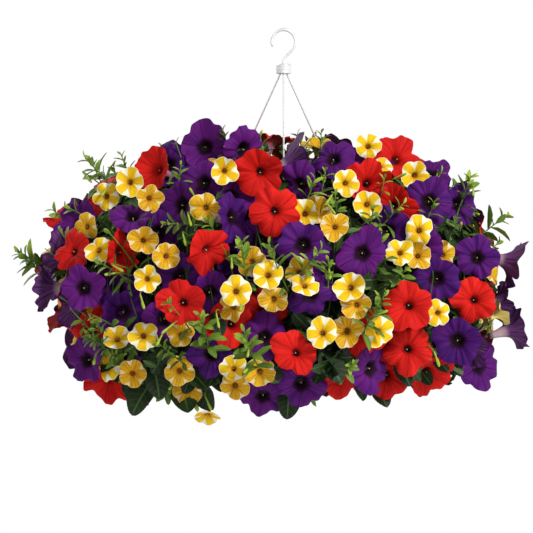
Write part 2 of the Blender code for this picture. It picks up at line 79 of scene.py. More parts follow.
# The mound of foliage is an ellipsoid, flatter below than above.
MOUND = np.array((-17.0, 0.0, -314.0))
HALF_WIDTH = 296
HALF_DEPTH = 256
RISE = 192
DROP = 152
EYE_DISTANCE = 5000
EYE_SLOPE = math.tan(math.radians(3))
# Its outline as seen: the edge at the middle, and how much nearer it is at the foot and near the top.
OUTLINE_LEFT = (-266, 62, 26)
OUTLINE_RIGHT = (246, 50, 18)
OUTLINE_LOWER, OUTLINE_DROP = -300, 130
OUTLINE_UPPER, OUTLINE_RISE = -240, 60
FRINGE_Z = -414

REAR_DARTS = 4200
PETUNIA_DARTS = 1800
REAR_CALIBRACHOAS = 52
SPRIG_LEAVES = 16
SECTORS = 6

# Pot, hook and wires.
HOOK_ROD = 3.6
HOOK_BEND = 13.8
HOOK_FROM_DEG = -20
HOOK_MOUTH_DEG = 205
HUB_Z = box_mm("hanger_hook")[0][2]
HUB_HEIGHT = 12
HUB_RADIUS = 9
WIRE_DIAMETER = 2
WIRE_ANGLES_DEG = (-90, 30, 150)
WIRE_BOXES = [box_mm(f"hanger_wire_{number}") for number in (1, 2, 3)]
WIRE_TOP_RADIUS = 4.5
WIRE_BEND = 5
RIM_RADIUS = 129
FLANGE = 13
WIRE_HOLE_RING = RIM_RADIUS - FLANGE / 2
WIRE_HOLE_RADIUS = 2.5
WALL = 2
BASE_RADIUS = 88
BASE_CORNER = 8
DRAIN_RING = 58
DRAIN_RADIUS = 4.5

# Stems spray from the middle of the soil and arch over.
ROOT_Z = SOIL_Z - 60
CROWN_SHARE = 0.49
CROWN_REACH = 62.2
ARCH = 75
ARCH_FROM = math.radians(62)

# Front shoots of each kind. Each bloom has its place across, its height, its depth in the mound, and how far
# it faces right and up.
FRONT_SHOOTS = {
    "purple_petunia": (
        ((-92, -134, 10, 0, 0.15), (-43, -139, 25, 0.65, -0.2)), ((-177, -213, 10, -0.2, 0.7),),
        ((-56, -215, 16, 0.75, 0), (-95, -175, 42, -0.2, 0.2)),
        ((57, -146, 12, 0, 0.6), (18, -150, 34, 0.8, 0.3)),
        ((23, -249, 10, 0, 0.1), (31, -309, 12, 0, -0.3)), ((92, -257, 4, 0.05, 0.05),),
        ((170, -197, 6, 0.1, 0.3), (205, -201, 26, 0.5, 0.1)),
        ((228, -263, 2, 0.15, 0), (274, -272, 30, 0.85, -0.15)), ((180, -288, 28, 0, 0),),
        ((-235, -299, 2, -0.1, 0.1), (-252, -318, 34, -0.8, 0)), ((-186, -328, 38, 0.3, -0.1),),
        ((-124, -283, 36, -0.3, 0.3),), ((-20, -357, 26, 0.35, 0), (-24, -428, 20, 0, -0.5)),
        ((-86, -377, 22, -0.1, 0),), ((-232, -384, 10, -0.6, 0),), ((22, -412, 12, 0, -0.3),),
        ((203, -361, 2, -0.05, 0), (232, -392, 26, 0.5, -0.1), (276, -345, 30, 0.8, 0.2)),
    ),
    "red_petunia": (
        ((-149, -160, 16, -0.6, 0.3),), ((-27, -165, 14, 0.05, -0.1), (-10, -210, 0, 0, 0.05)),
        ((-249, -254, 8, -0.5, 0.4), (-187, -257, 26, 0.6, 0)), ((135, -147, 14, 0.3, 0.4),),
        ((-119, -316, 2, 0, 0), (-87, -256, 12, 0.6, -0.25)),
        ((13, -374, 4, 0, 0), (-61, -341, 36, 0, 0), (66, -410, 26, 0.1, -0.5)), ((146, -318, 6, 0, 0),),
        ((222, -313, 6, 0.1, 0),),
        ((144, -371, 10, 0, 0), (92, -350, 34, -0.1, 0), (170, -402, 26, 0.1, -0.6)),
        ((-205, -410, 18, -0.1, -0.5),),
    ),
    "yellow_calibrachoa": (
        ((-180, -175, 2, 0, 0.15), (-208, -192, 14, -0.3, 0.2), (-157, -194, -2, 0.1, 0.1)),
        ((-69, -162, -6, 0, 0.1), (-92, -205, 6, -0.1, 0.1)),
        ((-137, -261, 2, 0, 0.1), (-160, -288, 4, 0, 0), (-217, -253, 4, -0.1, 0.35)),
        ((25, -212, 18, 0, 0.1), (60, -227, 4, 0.05, 0.1)),
        ((99, -133, 4, 0, 0.2), (73, -176, 0, 0.05, 0.15)),
        ((154, -168, 4, 0.2, 0.1), (136, -257, 0, 0, 0.1), (158, -231, 6, 0.1, 0.3)),
        ((-19, -282, 6, 0, 0.3), (-56, -302, 4, -0.1, 0.1), (-12, -312, 12, 0, -0.1)),
        ((77, -297, 4, 0, 0.3), (85, -318, 10, 0, 0), (45, -351, 2, 0, 0.1)), ((181, -328, -10, 0, 0),),
        ((-164, -354, 4, 0.1, 0.2), (-195, -357, 6, -0.1, 0.6), (-177, -399, -12, 0, -0.1)),
        ((-122, -396, 2, 0, -0.1), (-120, -352, 10, 0, 0.1)),
        ((-59, -392, 6, 0, 0.3), (-27, -398, 4, 0.1, -0.2), (-57, -414, 8, -0.1, -0.2)),
    ),
    "calibrachoa_leafy": (
        ((-312, -256, 0, -0.9, 0.2), (-270, -208, 0, -0.6, 0.6)),
        ((-226, -150, 0, -0.5, 0.7), (-255, -206, 20, -0.7, 0.5)),
        ((218, -170, 0, 0.6, 0.6), (262, -214, 0, 0.8, 0.4)),
    ),
}

# Rear shoots: rows by angle from the top, then count, first and last bearing, and depth.
REAR_ROWS = ((31, 2, 52, 128, 6), (58, 4, 20, 160, 6), (87, 3, 38, 138, 8), (115, 3, 46, 134, 26))
REAR_KINDS = ("purple_petunia", "red_petunia", "yellow_calibrachoa", "red_petunia", "purple_petunia")
REAR_SPREAD = {"purple_petunia": 0.21, "red_petunia": 0.21, "yellow_calibrachoa": 0.13}

# More blooms between the shoots' own, placed and turned in the same way.
MORE_BLOOMS = {
    "purple_petunia": (
        (-123, -201, 38, -0.7, 0.1), (-61, -187, 45, 0.1, 0.2), (17, -178, 30, -0.4, -0.4),
        (39, -191, 45, 0, 0), (108, -150, 30, 0.1, 0.3), (173, -165, 30, 0.1, 0.7),
        (-86, -307, 40, 0.2, -0.2), (-201, -300, 40, 0, 0.3), (-198, -382, 40, -0.2, -0.2),
        (105, -394, 14, 0.6, -0.1), (262, -372, 30, 0.85, 0), (279, -318, 30, 0.8, 0),
        (-136, -153, 34, -0.2, 0.4), (-242, -225, 34, -0.6, 0.3), (-270, -253, 30, -0.8, 0.1),
        (-27, -242, 40, 0, 0.1), (160, -249, 34, 0, 0.1), (-283, -300, 26, -0.85, 0),
        (-150, -232, 44, 0, 0), (120, -232, 44, 0, 0), (-60, -262, 46, 0, 0), (-140, -335, 42, 0, 0),
        (60, -285, 46, 0, 0),
    ),
    "red_petunia": (
        (98, -175, 30, 0.1, 0.2), (128, -204, 40, 0, 0), (-209, -321, 34, 0.2, 0.1),
        (-205, -339, 38, 0, -0.2), (-240, -349, 40, -0.4, 0), (122, -402, 36, 0, -0.2),
        (-224, -404, 34, -0.4, -0.7), (-189, -429, 26, -0.2, -0.8), (103, -421, 30, 0.2, -0.4),
        (-24, -326, 58, 0, 0),
    ),
    "yellow_calibrachoa": (
        (98, -201, 16, 0, 0.1), (176, -239, 10, 0.7, 0.2), (25, -294, -6, 0, 0.6),
        (98, -348, 10, -0.6, 0.1), (113, -350, 8, 0.6, 0), (258, -327, 16, 0.8, 0.1),
        (-208, -391, 14, -0.6, 0), (-89, -452, 10, 0, -0.8), (-293, -294, 10, -0.85, 0),
    ),
}
# Blooms that have turned golden with age.
OLD_BLOOMS = (
    (-164, -243, 16, 0, 0), (40, -204, 24, 0.2, 0.2), (157, -261, 14, 0, 0), (190, -261, 20, 0.2, 0),
    (-64, -322, 12, -0.5, 0), (19, -279, 14, 0, 0.3), (74, -349, 14, -0.2, 0), (-112, -419, 12, 0, -0.4),
    (-246, -330, 14, -0.6, 0), (-232, -227, 14, -0.6, 0.2), (-38, -268, 22, 0, 0),
)
OLD_IN_SHOOTS = (
    (-157, -194), (-137, -261), (-92, -205), (60, -227), (-12, -312), (85, -318), (-120, -352),
    (-177, -399), (-122, -396), (-57, -414), (-27, -398),
)
# Leafy tips: place across and height, and size.
SPRIGS = (
    (-232, -147, 1.15), (-250, -206, 1.1), (-261, -232, 1), (-312, -257, 1), (-279, -253, 1),
    (-217, -267, 0.8), (-120, -155, 0.8), (-126, -129, 0.8), (-71, -114, 0.8), (-27, -122, 0.9),
    (16, -119, 0.9), (44, -117, 0.8), (-91, -217, 0.8), (-50, -242, 1), (-17, -246, 0.9), (37, -171, 1.1),
    (49, -160, 0.9), (44, -253, 1), (52, -263, 0.8), (185, -163, 0.8), (219, -169, 1.1), (141, -199, 0.9),
    (177, -197, 0.8), (106, -201, 0.7), (114, -232, 0.8), (118, -169, 0.8), (252, -245, 1),
    (119, -304, 0.9), (246, -341, 0.8), (-262, -309, 0.9), (-250, -322, 0.8), (-224, -330, 0.9),
    (-232, -352, 0.7), (-150, -360, 0.7), (-46, -349, 0.9), (-99, -328, 0.9), (-136, -314, 0.8),
    (-105, -439, 0.8), (-206, -232, 0.9), (200, -178, 0.8), (-190, -143, 0.8),
)
BUDS = (
    (-235, -172), (-205, -188), (-201, -279), (-112, -219), (-118, -242), (-61, -270), (57, -197),
    (50, -206), (53, -282), (222, -187), (-79, -335), (-40, -373), (-168, -313), (-219, -383), (-92, -433),
    (-128, -347),
)
# Broad leaves along the bottom: place across and height, length, and how far the tip points right.
BOTTOM_LEAVES = (
    (-152, -412, 50, -0.3), (-134, -416, 48, 0.1), (-172, -408, 42, -0.5), (-108, -424, 38, 0.2),
    (-92, -404, 34, 0.2), (-156, -396, 42, 0.1), (-146, -376, 40, -0.2), (-186, -404, 34, -0.7),
    (-122, -398, 40, 0.4), (9, -432, 40, 0), (44, -380, 42, 0.3), (-89, -334, 30, 0.2), (92, -414, 36, 0.2),
    (115, -424, 38, 0.3), (146, -398, 34, 0.3), (158, -404, 26, 0.6), (176, -408, 24, 0.3),
    (192, -392, 26, 0.5), (-160, -412, 34, -0.5), (62, -396, 34, -0.3), (-16, -404, 30, -0.5),
    (34, -424, 30, 0.5), (-118, -410, 30, -0.1), (-206, -392, 30, -0.6),
)


def unit(vectors):
    """Each vector divided by its length."""
    return vectors / np.maximum(np.linalg.norm(vectors, axis=-1, keepdims=True), 1e-9)


def front_point(across, height, deep):
    """The point on the mound's front that is seen at this place, sunk by deep.

    The depth comes from the ellipsoid. Across and height widen in step with the distance from the eye."""
    half = np.where(height > MOUND[2], RISE, DROP)
    left = 1 - ((across - MOUND[0]) / HALF_WIDTH) ** 2 - ((height - MOUND[2]) / half) ** 2
    y = -HALF_DEPTH * np.sqrt(np.maximum(left, 0.03)) + deep
    nearer = 1 + y / EYE_DISTANCE
    x = MOUND[0] + (across - MOUND[0]) * nearer
    z = MOUND[2] + (height - MOUND[2]) * nearer - y * EYE_SLOPE
    return np.stack([x, y, z], axis=-1)


def seen_at(points):
    """Where points appear across and in height: the reverse of front_point's widening."""
    nearer = 1 + points[..., 1] / EYE_DISTANCE
    across = MOUND[0] + (points[..., 0] - MOUND[0]) / nearer
    height = MOUND[2] + (points[..., 2] + points[..., 1] * EYE_SLOPE - MOUND[2]) / nearer
    return across, height


def polar(radius, angle, height):
    """Points at a radius and an angle about the z axis, and a height."""
    return np.stack([radius * np.cos(angle), radius * np.sin(angle), height], axis=-1)


def outward(angle, azimuth):
    """Unit vector at this angle from the top and this bearing."""
    return polar(np.sin(angle), azimuth, np.cos(angle))


def random_out(count, lowest):
    """Unit vectors by chance, even over the sphere, whose height is above the lowest."""
    return outward(np.arccos(chance.uniform(lowest, 1, count)), chance.uniform(0, TURN, count))


def shell_point(out, deep):
    """The point of the mound in this direction, on an ellipsoid smaller all round by deep."""
    half = np.where(out[..., 2] > 0, RISE, DROP)
    sizes = np.stack([HALF_WIDTH - deep, HALF_DEPTH - deep, half - deep], axis=-1)
    return MOUND + out * sizes


def forward(right, up):
    """Unit vector towards the front that also points this much right and up."""
    return np.stack([right, -np.sqrt(1 - right**2 - up**2), up], axis=-1)


def bent_line(first, middle, last, share):
    """Quadratic Bezier curve from the first point towards the middle one and on to the last."""
    return first * (1 - share) ** 2 + 2 * middle * share * (1 - share) + last * share**2


def fountain(end, share, sway):
    """Stem line: in polar form about the root, the angle grows with share squared and the reach eases out."""
    flat = np.hypot(end[:, 0], end[:, 1])
    rise = end[:, 2] - ROOT_Z
    angle_end = np.arctan2(flat, rise)[:, None]
    angle_start = angle_end * CROWN_SHARE
    reach_start = CROWN_REACH / np.cos(angle_start)
    arch = ARCH * np.maximum(0, angle_end - ARCH_FROM)
    angle = angle_start + (angle_end - angle_start) * share**2
    reach = reach_start + (np.hypot(flat, rise)[:, None] - reach_start) * (1 - (1 - share) ** 2)
    reach = reach + arch * np.sin(math.pi * share)
    azimuth = np.arctan2(end[:, 1], end[:, 0])[:, None] + sway[:, None] * (1 - share)
    return reach[..., None] * outward(angle, azimuth) + (0, 0, ROOT_Z)


# ---- Shapes: rings between two poles, many copies at a time ----


class Copies:
    """Copies of one closed shape, with what each point and each copy carries for its finish."""

    def __init__(self, points, rings, columns, uv, finish, owner, tone=0.5, age=0.0, back=0.0, margin=0.0):
        count, size = points.shape[:2]
        self.points = points
        self.quads, self.fans = ring_faces(rings, columns)
        if signed_volume(points[0], self.quads, self.fans) < 0:
            self.quads, self.fans = self.quads[:, ::-1], self.fans[:, ::-1]
        self.uv = np.broadcast_to(uv, (count, size, 2))
        self.finish = finish
        self.owner = np.broadcast_to(owner, count)
        self.values = {
            "tone": np.broadcast_to(np.reshape(tone, (-1, 1)), (count, size)),
            "age": np.broadcast_to(np.reshape(age, (-1, 1)), (count, size)),
            "back": np.broadcast_to(back, (count, size)),
        }
        self.margin = np.broadcast_to(margin, (count, size))


def ring_faces(rings, columns):
    """Quads between neighbouring rings, and triangles from the end rings to the poles, which come last."""
    first = np.arange(rings * columns).reshape(rings, columns)
    after = np.roll(first, -1, axis=1)
    quads = np.stack([first[:-1], after[:-1], after[1:], first[1:]], axis=-1).reshape(-1, 4)
    pole = np.full(columns, rings * columns)
    fans = np.concatenate([
        np.stack([after[0], first[0], pole], axis=-1),
        np.stack([first[-1], after[-1], pole + 1], axis=-1),
    ])
    return quads, fans


def signed_volume(points, quads, fans):
    """Volume inside the faces, negative if they point inwards."""
    triangles = np.concatenate([quads[:, :3], quads[:, [0, 2, 3]], fans])
    return np.linalg.det(points[triangles] - points.mean(axis=0)).sum()


def with_poles(rings, first, last):
    """Rings of shape (copies, rings, columns, 3) and the two poles as one list of points for each copy."""
    count = len(rings)
    return np.concatenate([rings.reshape(count, -1, 3), first[:, None], last[:, None]], axis=1)


def strip_uv(u, v, pole_u):
    """UV of points that are u across and v along a shape, and then of its two poles."""
    return np.concatenate([np.stack([u + 0 * v, v], axis=-1), ((pole_u, 0), (pole_u, 1))])


def axes_for(way, roll):
    """For each copy, two axes across its way, turned by roll, and the way itself."""
    helper = np.where(np.abs(way[:, 2:]) < 0.9, (0.0, 0.0, 1.0), (0.0, 1.0, 0.0))
    side = unit(np.cross(helper, way))
    other = np.cross(way, side)
    cos, sin = np.cos(roll)[:, None], np.sin(roll)[:, None]
    return np.stack([side * cos + other * sin, other * cos - side * sin, way], axis=1)


def placed(local, axes, origin):
    """Local points carried onto each copy's axes and place."""
    return np.einsum("cvi,cij->cvj", local, axes) + origin[:, None]


def random_waves(count, angle, sizes):
    """Sum of cosines of whole multiples of the angle, each with a random size and phase for each copy."""
    total = np.zeros((count, 1, len(angle)))
    for multiple, size in sizes.items():
        reach = size * chance.normal(size=(count, 1, 1))
        total = total + reach * np.cos(multiple * angle + chance.uniform(0, TURN, (count, 1, 1)))
    return total


# Blooms: profiles of share of the radius and height, sizes in millimetres, and the waves of rim and ruffle.
PETUNIA = {
    "front": (
        (0.095, -22), (0.13, -12), (0.19, -6.5), (0.29, -3.4), (0.4, -2), (0.53, -1.1), (0.66, -0.5),
        (0.78, -0.3), (0.89, -0.6), (1, -1.4),
    ),
    "back": (
        (0.89, -1.2), (0.76, -1.1), (0.6, -1.8), (0.45, -3.2), (0.34, -5.6), (0.25, -9.5), (0.19, -15),
        (0.15, -21), (0.12, -27.5),
    ),
    "poles": (-26, -29.5),
    "columns": 72,
    "radius": 27,
    "notch": 0.15,
    "point": 0.04,
    "radial": {1: 0.04, 2: 0.055, 3: 0.045, 4: 0.03, 5: 0.015, 10: 0.012, 17: 0.009, 23: 0.007},
    "ruffle": {2: 2.5, 3: 2.0, 4: 1.3, 5: 1.4, 7: 1.0, 10: 0.9, 13: 0.7, 19: 0.4},
    "fold": 5.5,
    "cup": 3.2,
    "dip": 4.0,
    "rib": 2.0,
    "pleat": 0.3,
    "behind": 29.5,
    "calyx": 13,
    "stem": 1.4,
    "foliage": "petunia_foliage",
}
CALIBRACHOA = {
    "front": (
        (0.1, -10), (0.14, -5.5), (0.22, -2.8), (0.34, -1.6), (0.5, -0.9), (0.66, -0.4), (0.82, -0.3),
        (1, -0.9),
    ),
    "back": ((0.84, -0.9), (0.6, -1.5), (0.38, -3), (0.22, -6), (0.14, -10), (0.1, -14)),
    "poles": (-12, -15.5),
    "columns": 40,
    "radius": 16.5,
    "notch": 0.12,
    "point": 0.0,
    "radial": {1: 0.035, 2: 0.055, 3: 0.045, 4: 0.02, 5: 0.015, 11: 0.012},
    "ruffle": {2: 1.8, 3: 1.3, 4: 0.8, 5: 0.7, 7: 0.5, 11: 0.3},
    "fold": 3.6,
    "cup": 2.4,
    "dip": 1.7,
    "rib": 0.6,
    "pleat": 0.2,
    "behind": 15.5,
    "calyx": 7,
    "stem": 0.8,
    "foliage": "calibrachoa_foliage",
}


def bloom_copies(shape, face, way, radius, finish, owner, age, funnel):
    """Flared trumpets of five lobes, closed from the throat round the rim to the stalk.

    Ring radius and height follow the profile. Let w rise from 0 in the throat to 1 at the rim, and n be
    (1 - cos 5a) / 2 for the angle a. The radius is multiplied by
    1 - notch w^2 n^4 + point w^2 (1 - n)^12 + w waves(a). The height gains
    w^1.5 waves(a) - dip w^2 n^3 + cup w^2 - rib w (1 - 0.6 w) (1 - n)^30, a fold of
    w^2 ((1 + cos(a - b)) / 2)^6 for a random b, and pleats of 15 and 26 waves, strongest at w = 0.6.
    Last it loses funnel times the distance from the rim, which makes a cone of the flare."""
    count = len(face)
    rows = np.array(shape["front"] + shape["back"])
    rings, columns = len(rows), shape["columns"]
    angle = np.linspace(0, TURN, columns, endpoint=False)
    share = rows[None, :, :1]
    near_rim = np.clip((share - 0.2) / 0.8, 0, 1)
    notch = 0.5 - 0.5 * np.cos(5 * angle)
    lobes = -shape["notch"] * near_rim**2 * notch**4 + shape["point"] * near_rim**2 * (1 - notch) ** 12
    grown = 1 + lobes + near_rim * random_waves(count, angle, shape["radial"])
    across = share * radius[:, None, None] * grown
    cup = shape["cup"] * chance.normal(size=(count, 1, 1))
    height = rows[None, :, 1:] * (radius / shape["radius"])[:, None, None]
    height = height + near_rim**1.5 * random_waves(count, angle, shape["ruffle"])
    height = height - shape["dip"] * near_rim**2 * notch**3 + cup * near_rim**2
    height = height - shape["rib"] * near_rim * (1 - near_rim * 0.6) * (1 - notch) ** 30
    pleats = random_waves(count, angle, {15: shape["pleat"], 26: 0.6 * shape["pleat"]})
    height = height + 4 * near_rim * (1.15 - near_rim) * pleats
    turned = angle - chance.uniform(0, TURN, (count, 1, 1))
    fold = shape["fold"] * np.clip(chance.normal(size=(count, 1, 1)), -1.3, 1.3)
    height = height + fold * near_rim**2 * (0.5 + 0.5 * np.cos(turned)) ** 6
    height = height - (funnel * radius)[:, None, None] * (1 - share)
    rings_xyz = polar(across, angle, height)
    poles = np.array(shape["poles"])[:, None] * (0, 0, 1)
    local = with_poles(rings_xyz, np.tile(poles[0], (count, 1)), np.tile(poles[1], (count, 1)))
    disc = np.stack([share[0] * np.cos(angle), share[0] * np.sin(angle)], axis=-1).reshape(-1, 2)
    uv = 0.5 + 0.5 * np.concatenate([disc, np.zeros((2, 2))])
    is_back = np.repeat(np.arange(rings) >= len(shape["front"]), columns)
    is_rim = np.repeat(np.arange(rings) == len(shape["front"]) - 1, columns)
    points = placed(local, axes_for(way, chance.uniform(0, TURN, count)), face)
    is_back = np.append(is_back, (False, True)).astype(float)
    is_rim = np.append(is_rim, (False, False))
    tone = chance.uniform(0, 1, count)
    return Copies(points, rings, columns, uv, finish, owner, tone, age, back=is_back, margin=is_rim)


# Cross sections of a leaf, across and up, and the shares of its length where they stand.
FULL_RING = ((-1, 0), (-0.52, 1), (0, 0.5), (0.52, 1), (1, 0), (0, -1))
THIN_RING = ((-1, 0), (0, 1), (1, 0), (0, -1))
FINE_RING = (
    (-1, 0), (-0.66, 0.8), (-0.33, 1), (0, 0.4), (0.33, 1), (0.66, 0.8),
    (1, 0), (0.5, -0.8), (0, -1), (-0.5, -0.8),
)
OVATE = (0.05, 0.18, 0.36, 0.56, 0.76, 0.92)
FINE_OVATE = (0.03, 0.09, 0.17, 0.26, 0.36, 0.46, 0.56, 0.66, 0.76, 0.85, 0.92, 0.97)
SHORT = (0.06, 0.3, 0.62, 0.9)


def leaf_copies(base, along, facing, length, width, finish, owner, tone, ring=FULL_RING, steps=OVATE,
                belly=0.8, fold=0.25, droop=0.2, wavy=0.0, blunt=0.75):
    """Leaf blades as thin lenses from stalk to tip.

    Half width is sin(pi t^belly)^blunt along the leaf. The blade folds up either side of its midrib in
    proportion to the distance from it, its line droops with t squared, and its margins wave with
    sin(9 t + phase)."""
    count = len(base)
    along = unit(along)
    across = unit(np.cross(along, facing))
    upper = np.cross(across, along)
    share = np.array(steps)[None, :, None]
    section = np.array(ring, float)
    half = (width / 2)[:, None, None] * np.sin(math.pi * share**belly) ** blunt
    aside = half * section[:, 0]
    bent = droop * chance.uniform(0.3, 1.5, (count, 1, 1))
    sunk = bent[:, 0, 0]
    wave = wavy * width[:, None, None] * np.sin(9 * share + chance.uniform(0, TURN, (count, 1, 1)))
    lift = fold * np.abs(aside) + wave * np.abs(section[:, 0]) ** 2 + 0.35 * section[:, 1]
    lift = lift - bent * length[:, None, None] * share**2
    reach = length[:, None, None] * share * (1 - 0.25 * bent * share) + 0 * aside
    rings = (
        aside[..., None] * across[:, None, None] + lift[..., None] * upper[:, None, None]
        + reach[..., None] * along[:, None, None] + base[:, None, None]
    )
    tip = base + along * (length * (1 - 0.25 * sunk))[:, None] - upper * (length * sunk)[:, None]
    points = with_poles(rings, base, tip)
    uv = strip_uv(0.5 + 0.5 * np.tile(section[:, 0], len(steps)), np.repeat(np.array(steps), len(ring)), 0.5)
    under = np.tile(section[:, 1] < 0, len(steps))
    edge = np.tile(np.abs(section[:, 0]) == 1, len(steps))
    under = np.append(under, (False, False)).astype(float)
    edge = np.append(edge, (True, True))
    return Copies(points, len(steps), len(ring), uv, finish, owner, tone, back=under, margin=edge)


def tube_copies(path, radius, sides, finish, owner, tone, aside):
    """Tubes along paths: a ring of this many sides round each point, square to the path."""
    steps = path.shape[1]
    radius = np.broadcast_to(radius, path.shape[:2])
    tangent = unit(np.gradient(path, axis=1))
    side = unit(np.cross(tangent, aside[:, None]))
    other = np.cross(tangent, side)
    angle = np.linspace(0, TURN, sides, endpoint=False)[:, None]
    spread = side[:, :, None] * np.cos(angle) + other[:, :, None] * np.sin(angle)
    rings = path[:, :, None] + radius[..., None, None] * spread
    points = with_poles(rings, path[:, 0], path[:, -1])
    uv = strip_uv(0.3, np.repeat(np.linspace(0, 1, steps), sides), 0.3)
    return Copies(points, steps, sides, uv, finish, owner, tone)


# Share of the length and of the thickness.
BUD_PROFILE = ((0.05, 0.45), (0.18, 0.6), (0.4, 0.55), (0.62, 0.85), (0.8, 1), (0.93, 0.7))


def bud_copies(base, way, length, thick, finish, owner, tone):
    """Closed buds: a turned spindle, thickest four fifths of the way to its tip, with five shallow pleats."""
    count = len(base)
    rows = np.array(BUD_PROFILE)
    sides = 10
    angle = np.linspace(0, TURN, sides, endpoint=False)
    pleat = 1 + 0.12 * np.cos(5 * (angle + 2 * rows[:, :1]))
    radius = (thick / 2)[:, None, None] * rows[None, :, 1:] * pleat
    height = length[:, None, None] * rows[None, :, :1] + 0 * radius
    rings = polar(radius, angle, height)
    tip = length[:, None] * (0.0, 0.0, 1.0)
    points = placed(with_poles(rings, 0 * tip, tip), axes_for(way, chance.uniform(0, TURN, count)), base)
    uv = strip_uv(0.7, np.repeat(rows[:, 0], sides), 0.7)
    return Copies(points, len(rows), sides, uv, finish, owner, tone)


# ---- Where everything grows ----

SHAPES = {"purple_petunia": PETUNIA, "red_petunia": PETUNIA, "yellow_calibrachoa": CALIBRACHOA}
SIZES = {kind: shape["radius"] for kind, shape in SHAPES.items()}
PETUNIAS = ["purple_petunia", "red_petunia"]
SLOTS = {
    "purple_petunia": "purple_petals",
    "red_petunia": "red_petals",
    "yellow_calibrachoa": "calibrachoa_petals",
    "calibrachoa_leafy": "calibrachoa_foliage",
}


class Plants:
    """Shoots, and the blooms on them: each bloom's kind, face, way, age and shoot."""

    def __init__(self):
        self.names, self.kinds, self.blooms = [], [], []
        heads = []
        for kind, faces, ways, ages in [*front_shoots(), *rear_shoots()]:
            self.blooms += [(kind, *bloom, len(self.names)) for bloom in zip(faces, ways, ages)]
            self.kinds.append(kind)
            self.names.append(f"{kind}_shoot_{self.kinds.count(kind):02d}")
            heads.append(faces[0])
        self.heads = np.array(heads)

    def nearest(self, points, kinds):
        """For each point, the shoot of these kinds whose head is nearest."""
        allowed = np.flatnonzero(np.isin(self.kinds, kinds))
        gaps = np.linalg.norm(points[:, None] - self.heads[allowed], axis=-1)
        return allowed[gaps.argmin(axis=1)]

    def settle(self, kind, faces, ways):
        """Sinks each face, 6 mm at a time, until its disc and tube are clear of the blooms already there."""
        cover = Cover(self.blooms)
        faces = faces.copy()
        size = SIZES[kind]
        turn = np.linspace(0, TURN, 10, endpoint=False)
        for number, way in enumerate(ways):
            across = axes_for(way[None], np.zeros(1))[0]
            ring = np.cos(turn)[:, None] * across[0] + np.sin(turn)[:, None] * across[1]
            tube = -0.5 * size * way[None]
            disc = np.concatenate([0 * ring[:1], 0.45 * size * ring, 0.95 * size * ring, tube])
            for _ in range(6):
                if not cover.in_funnel(faces[number] + disc).any():
                    break
                faces[number] = faces[number] - unit(way + unit(faces[number] - MOUND)) * 6
            cover.blooms.append((faces[number], way, size))
        return faces

    def add(self, kind, faces, ways, ages):
        """Puts blooms of one kind on the nearest shoots of that kind."""
        for face, way, age, owner in zip(faces, ways, ages, self.nearest(faces, [kind])):
            self.blooms.append((kind, face, unit(way), age, owner))

    def columns(self, kind):
        """Faces, ways, ages and shoots of the blooms of one kind."""
        return [np.array(column) for column in zip(*(bloom[1:] for bloom in self.blooms if bloom[0] == kind))]


def from_places(places):
    """Faces and ways of blooms given by place across, height and depth and how they face.

    Those that face well to one side are turned on until their tubes show."""
    across, height, deep, right, up = np.array(places, float).T
    ways = forward(right, up)
    ways[:, 1] = np.where(np.abs(right) >= 0.8, 0.3, ways[:, 1])
    return front_point(across, height, deep), unit(ways + 0.1 * chance.normal(size=ways.shape))


def front_shoots():
    """Kind, faces, ways and ages of each front shoot."""
    for kind, shoots in FRONT_SHOOTS.items():
        for places in shoots:
            faces, ways = from_places(places)
            yield kind, faces, ways, [float(place[:2] in OLD_IN_SHOOTS) for place in places]


def rear_shoots():
    """Kind, faces, ways and ages of each rear shoot: a bloom at its place in the row and one to each side."""
    number = 0
    for angle_deg, count, first, last, row_deep in REAR_ROWS:
        for azimuth_deg in np.linspace(first, last, count):
            kind = REAR_KINDS[number % len(REAR_KINDS)]
            spread = REAR_SPREAD[kind]
            number += 1
            side, lower, deep = np.array(((0, 0, 0), (1, 0.25, 14), (-1, 0.3, 10)), float).T
            angle = math.radians(angle_deg) + lower * spread
            azimuth = math.radians(azimuth_deg) + side * spread / np.sin(angle)
            out = outward(angle, azimuth)
            yield kind, shell_point(out, row_deep + deep), unit(out + (0, 0.2, 0.1)), (0.0, 0.0, 0.0)


def clear_of_wires(points, gap):
    """Whether each point keeps this far from all three wires, taken as straight lines from hub to rim."""
    clear = np.ones(len(points), bool)
    for (low, high), deg in zip(WIRE_BOXES, WIRE_ANGLES_DEG):
        out = np.array((math.cos(math.radians(deg)), math.sin(math.radians(deg)), 0))
        top = WIRE_TOP_RADIUS * out + (0, 0, high[2])
        line = WIRE_HOLE_RING * out + (0, 0, low[2]) - top
        share = np.clip((points - top) @ line / (line @ line), 0, 1)
        clear &= np.linalg.norm(points - top - share[:, None] * line, axis=-1) > gap
    return clear


def past_outline(points, margin):
    """Whether each point is seen this far past the mound's sides.

    The outline draws in by the power 1.4 of the way down below the middle, and evenly near the top."""
    across, height = seen_at(points)
    lower = np.clip((OUTLINE_LOWER - height) / OUTLINE_DROP, 0, 1) ** 1.4
    upper = np.clip((height - OUTLINE_UPPER) / OUTLINE_RISE, 0, 1)
    left, foot_left, top_left = OUTLINE_LEFT
    right, foot_right, top_right = OUTLINE_RIGHT
    past_left = across < left - margin + foot_left * lower + top_left * upper
    return past_left | (across > right + margin - foot_right * lower - top_right * upper)


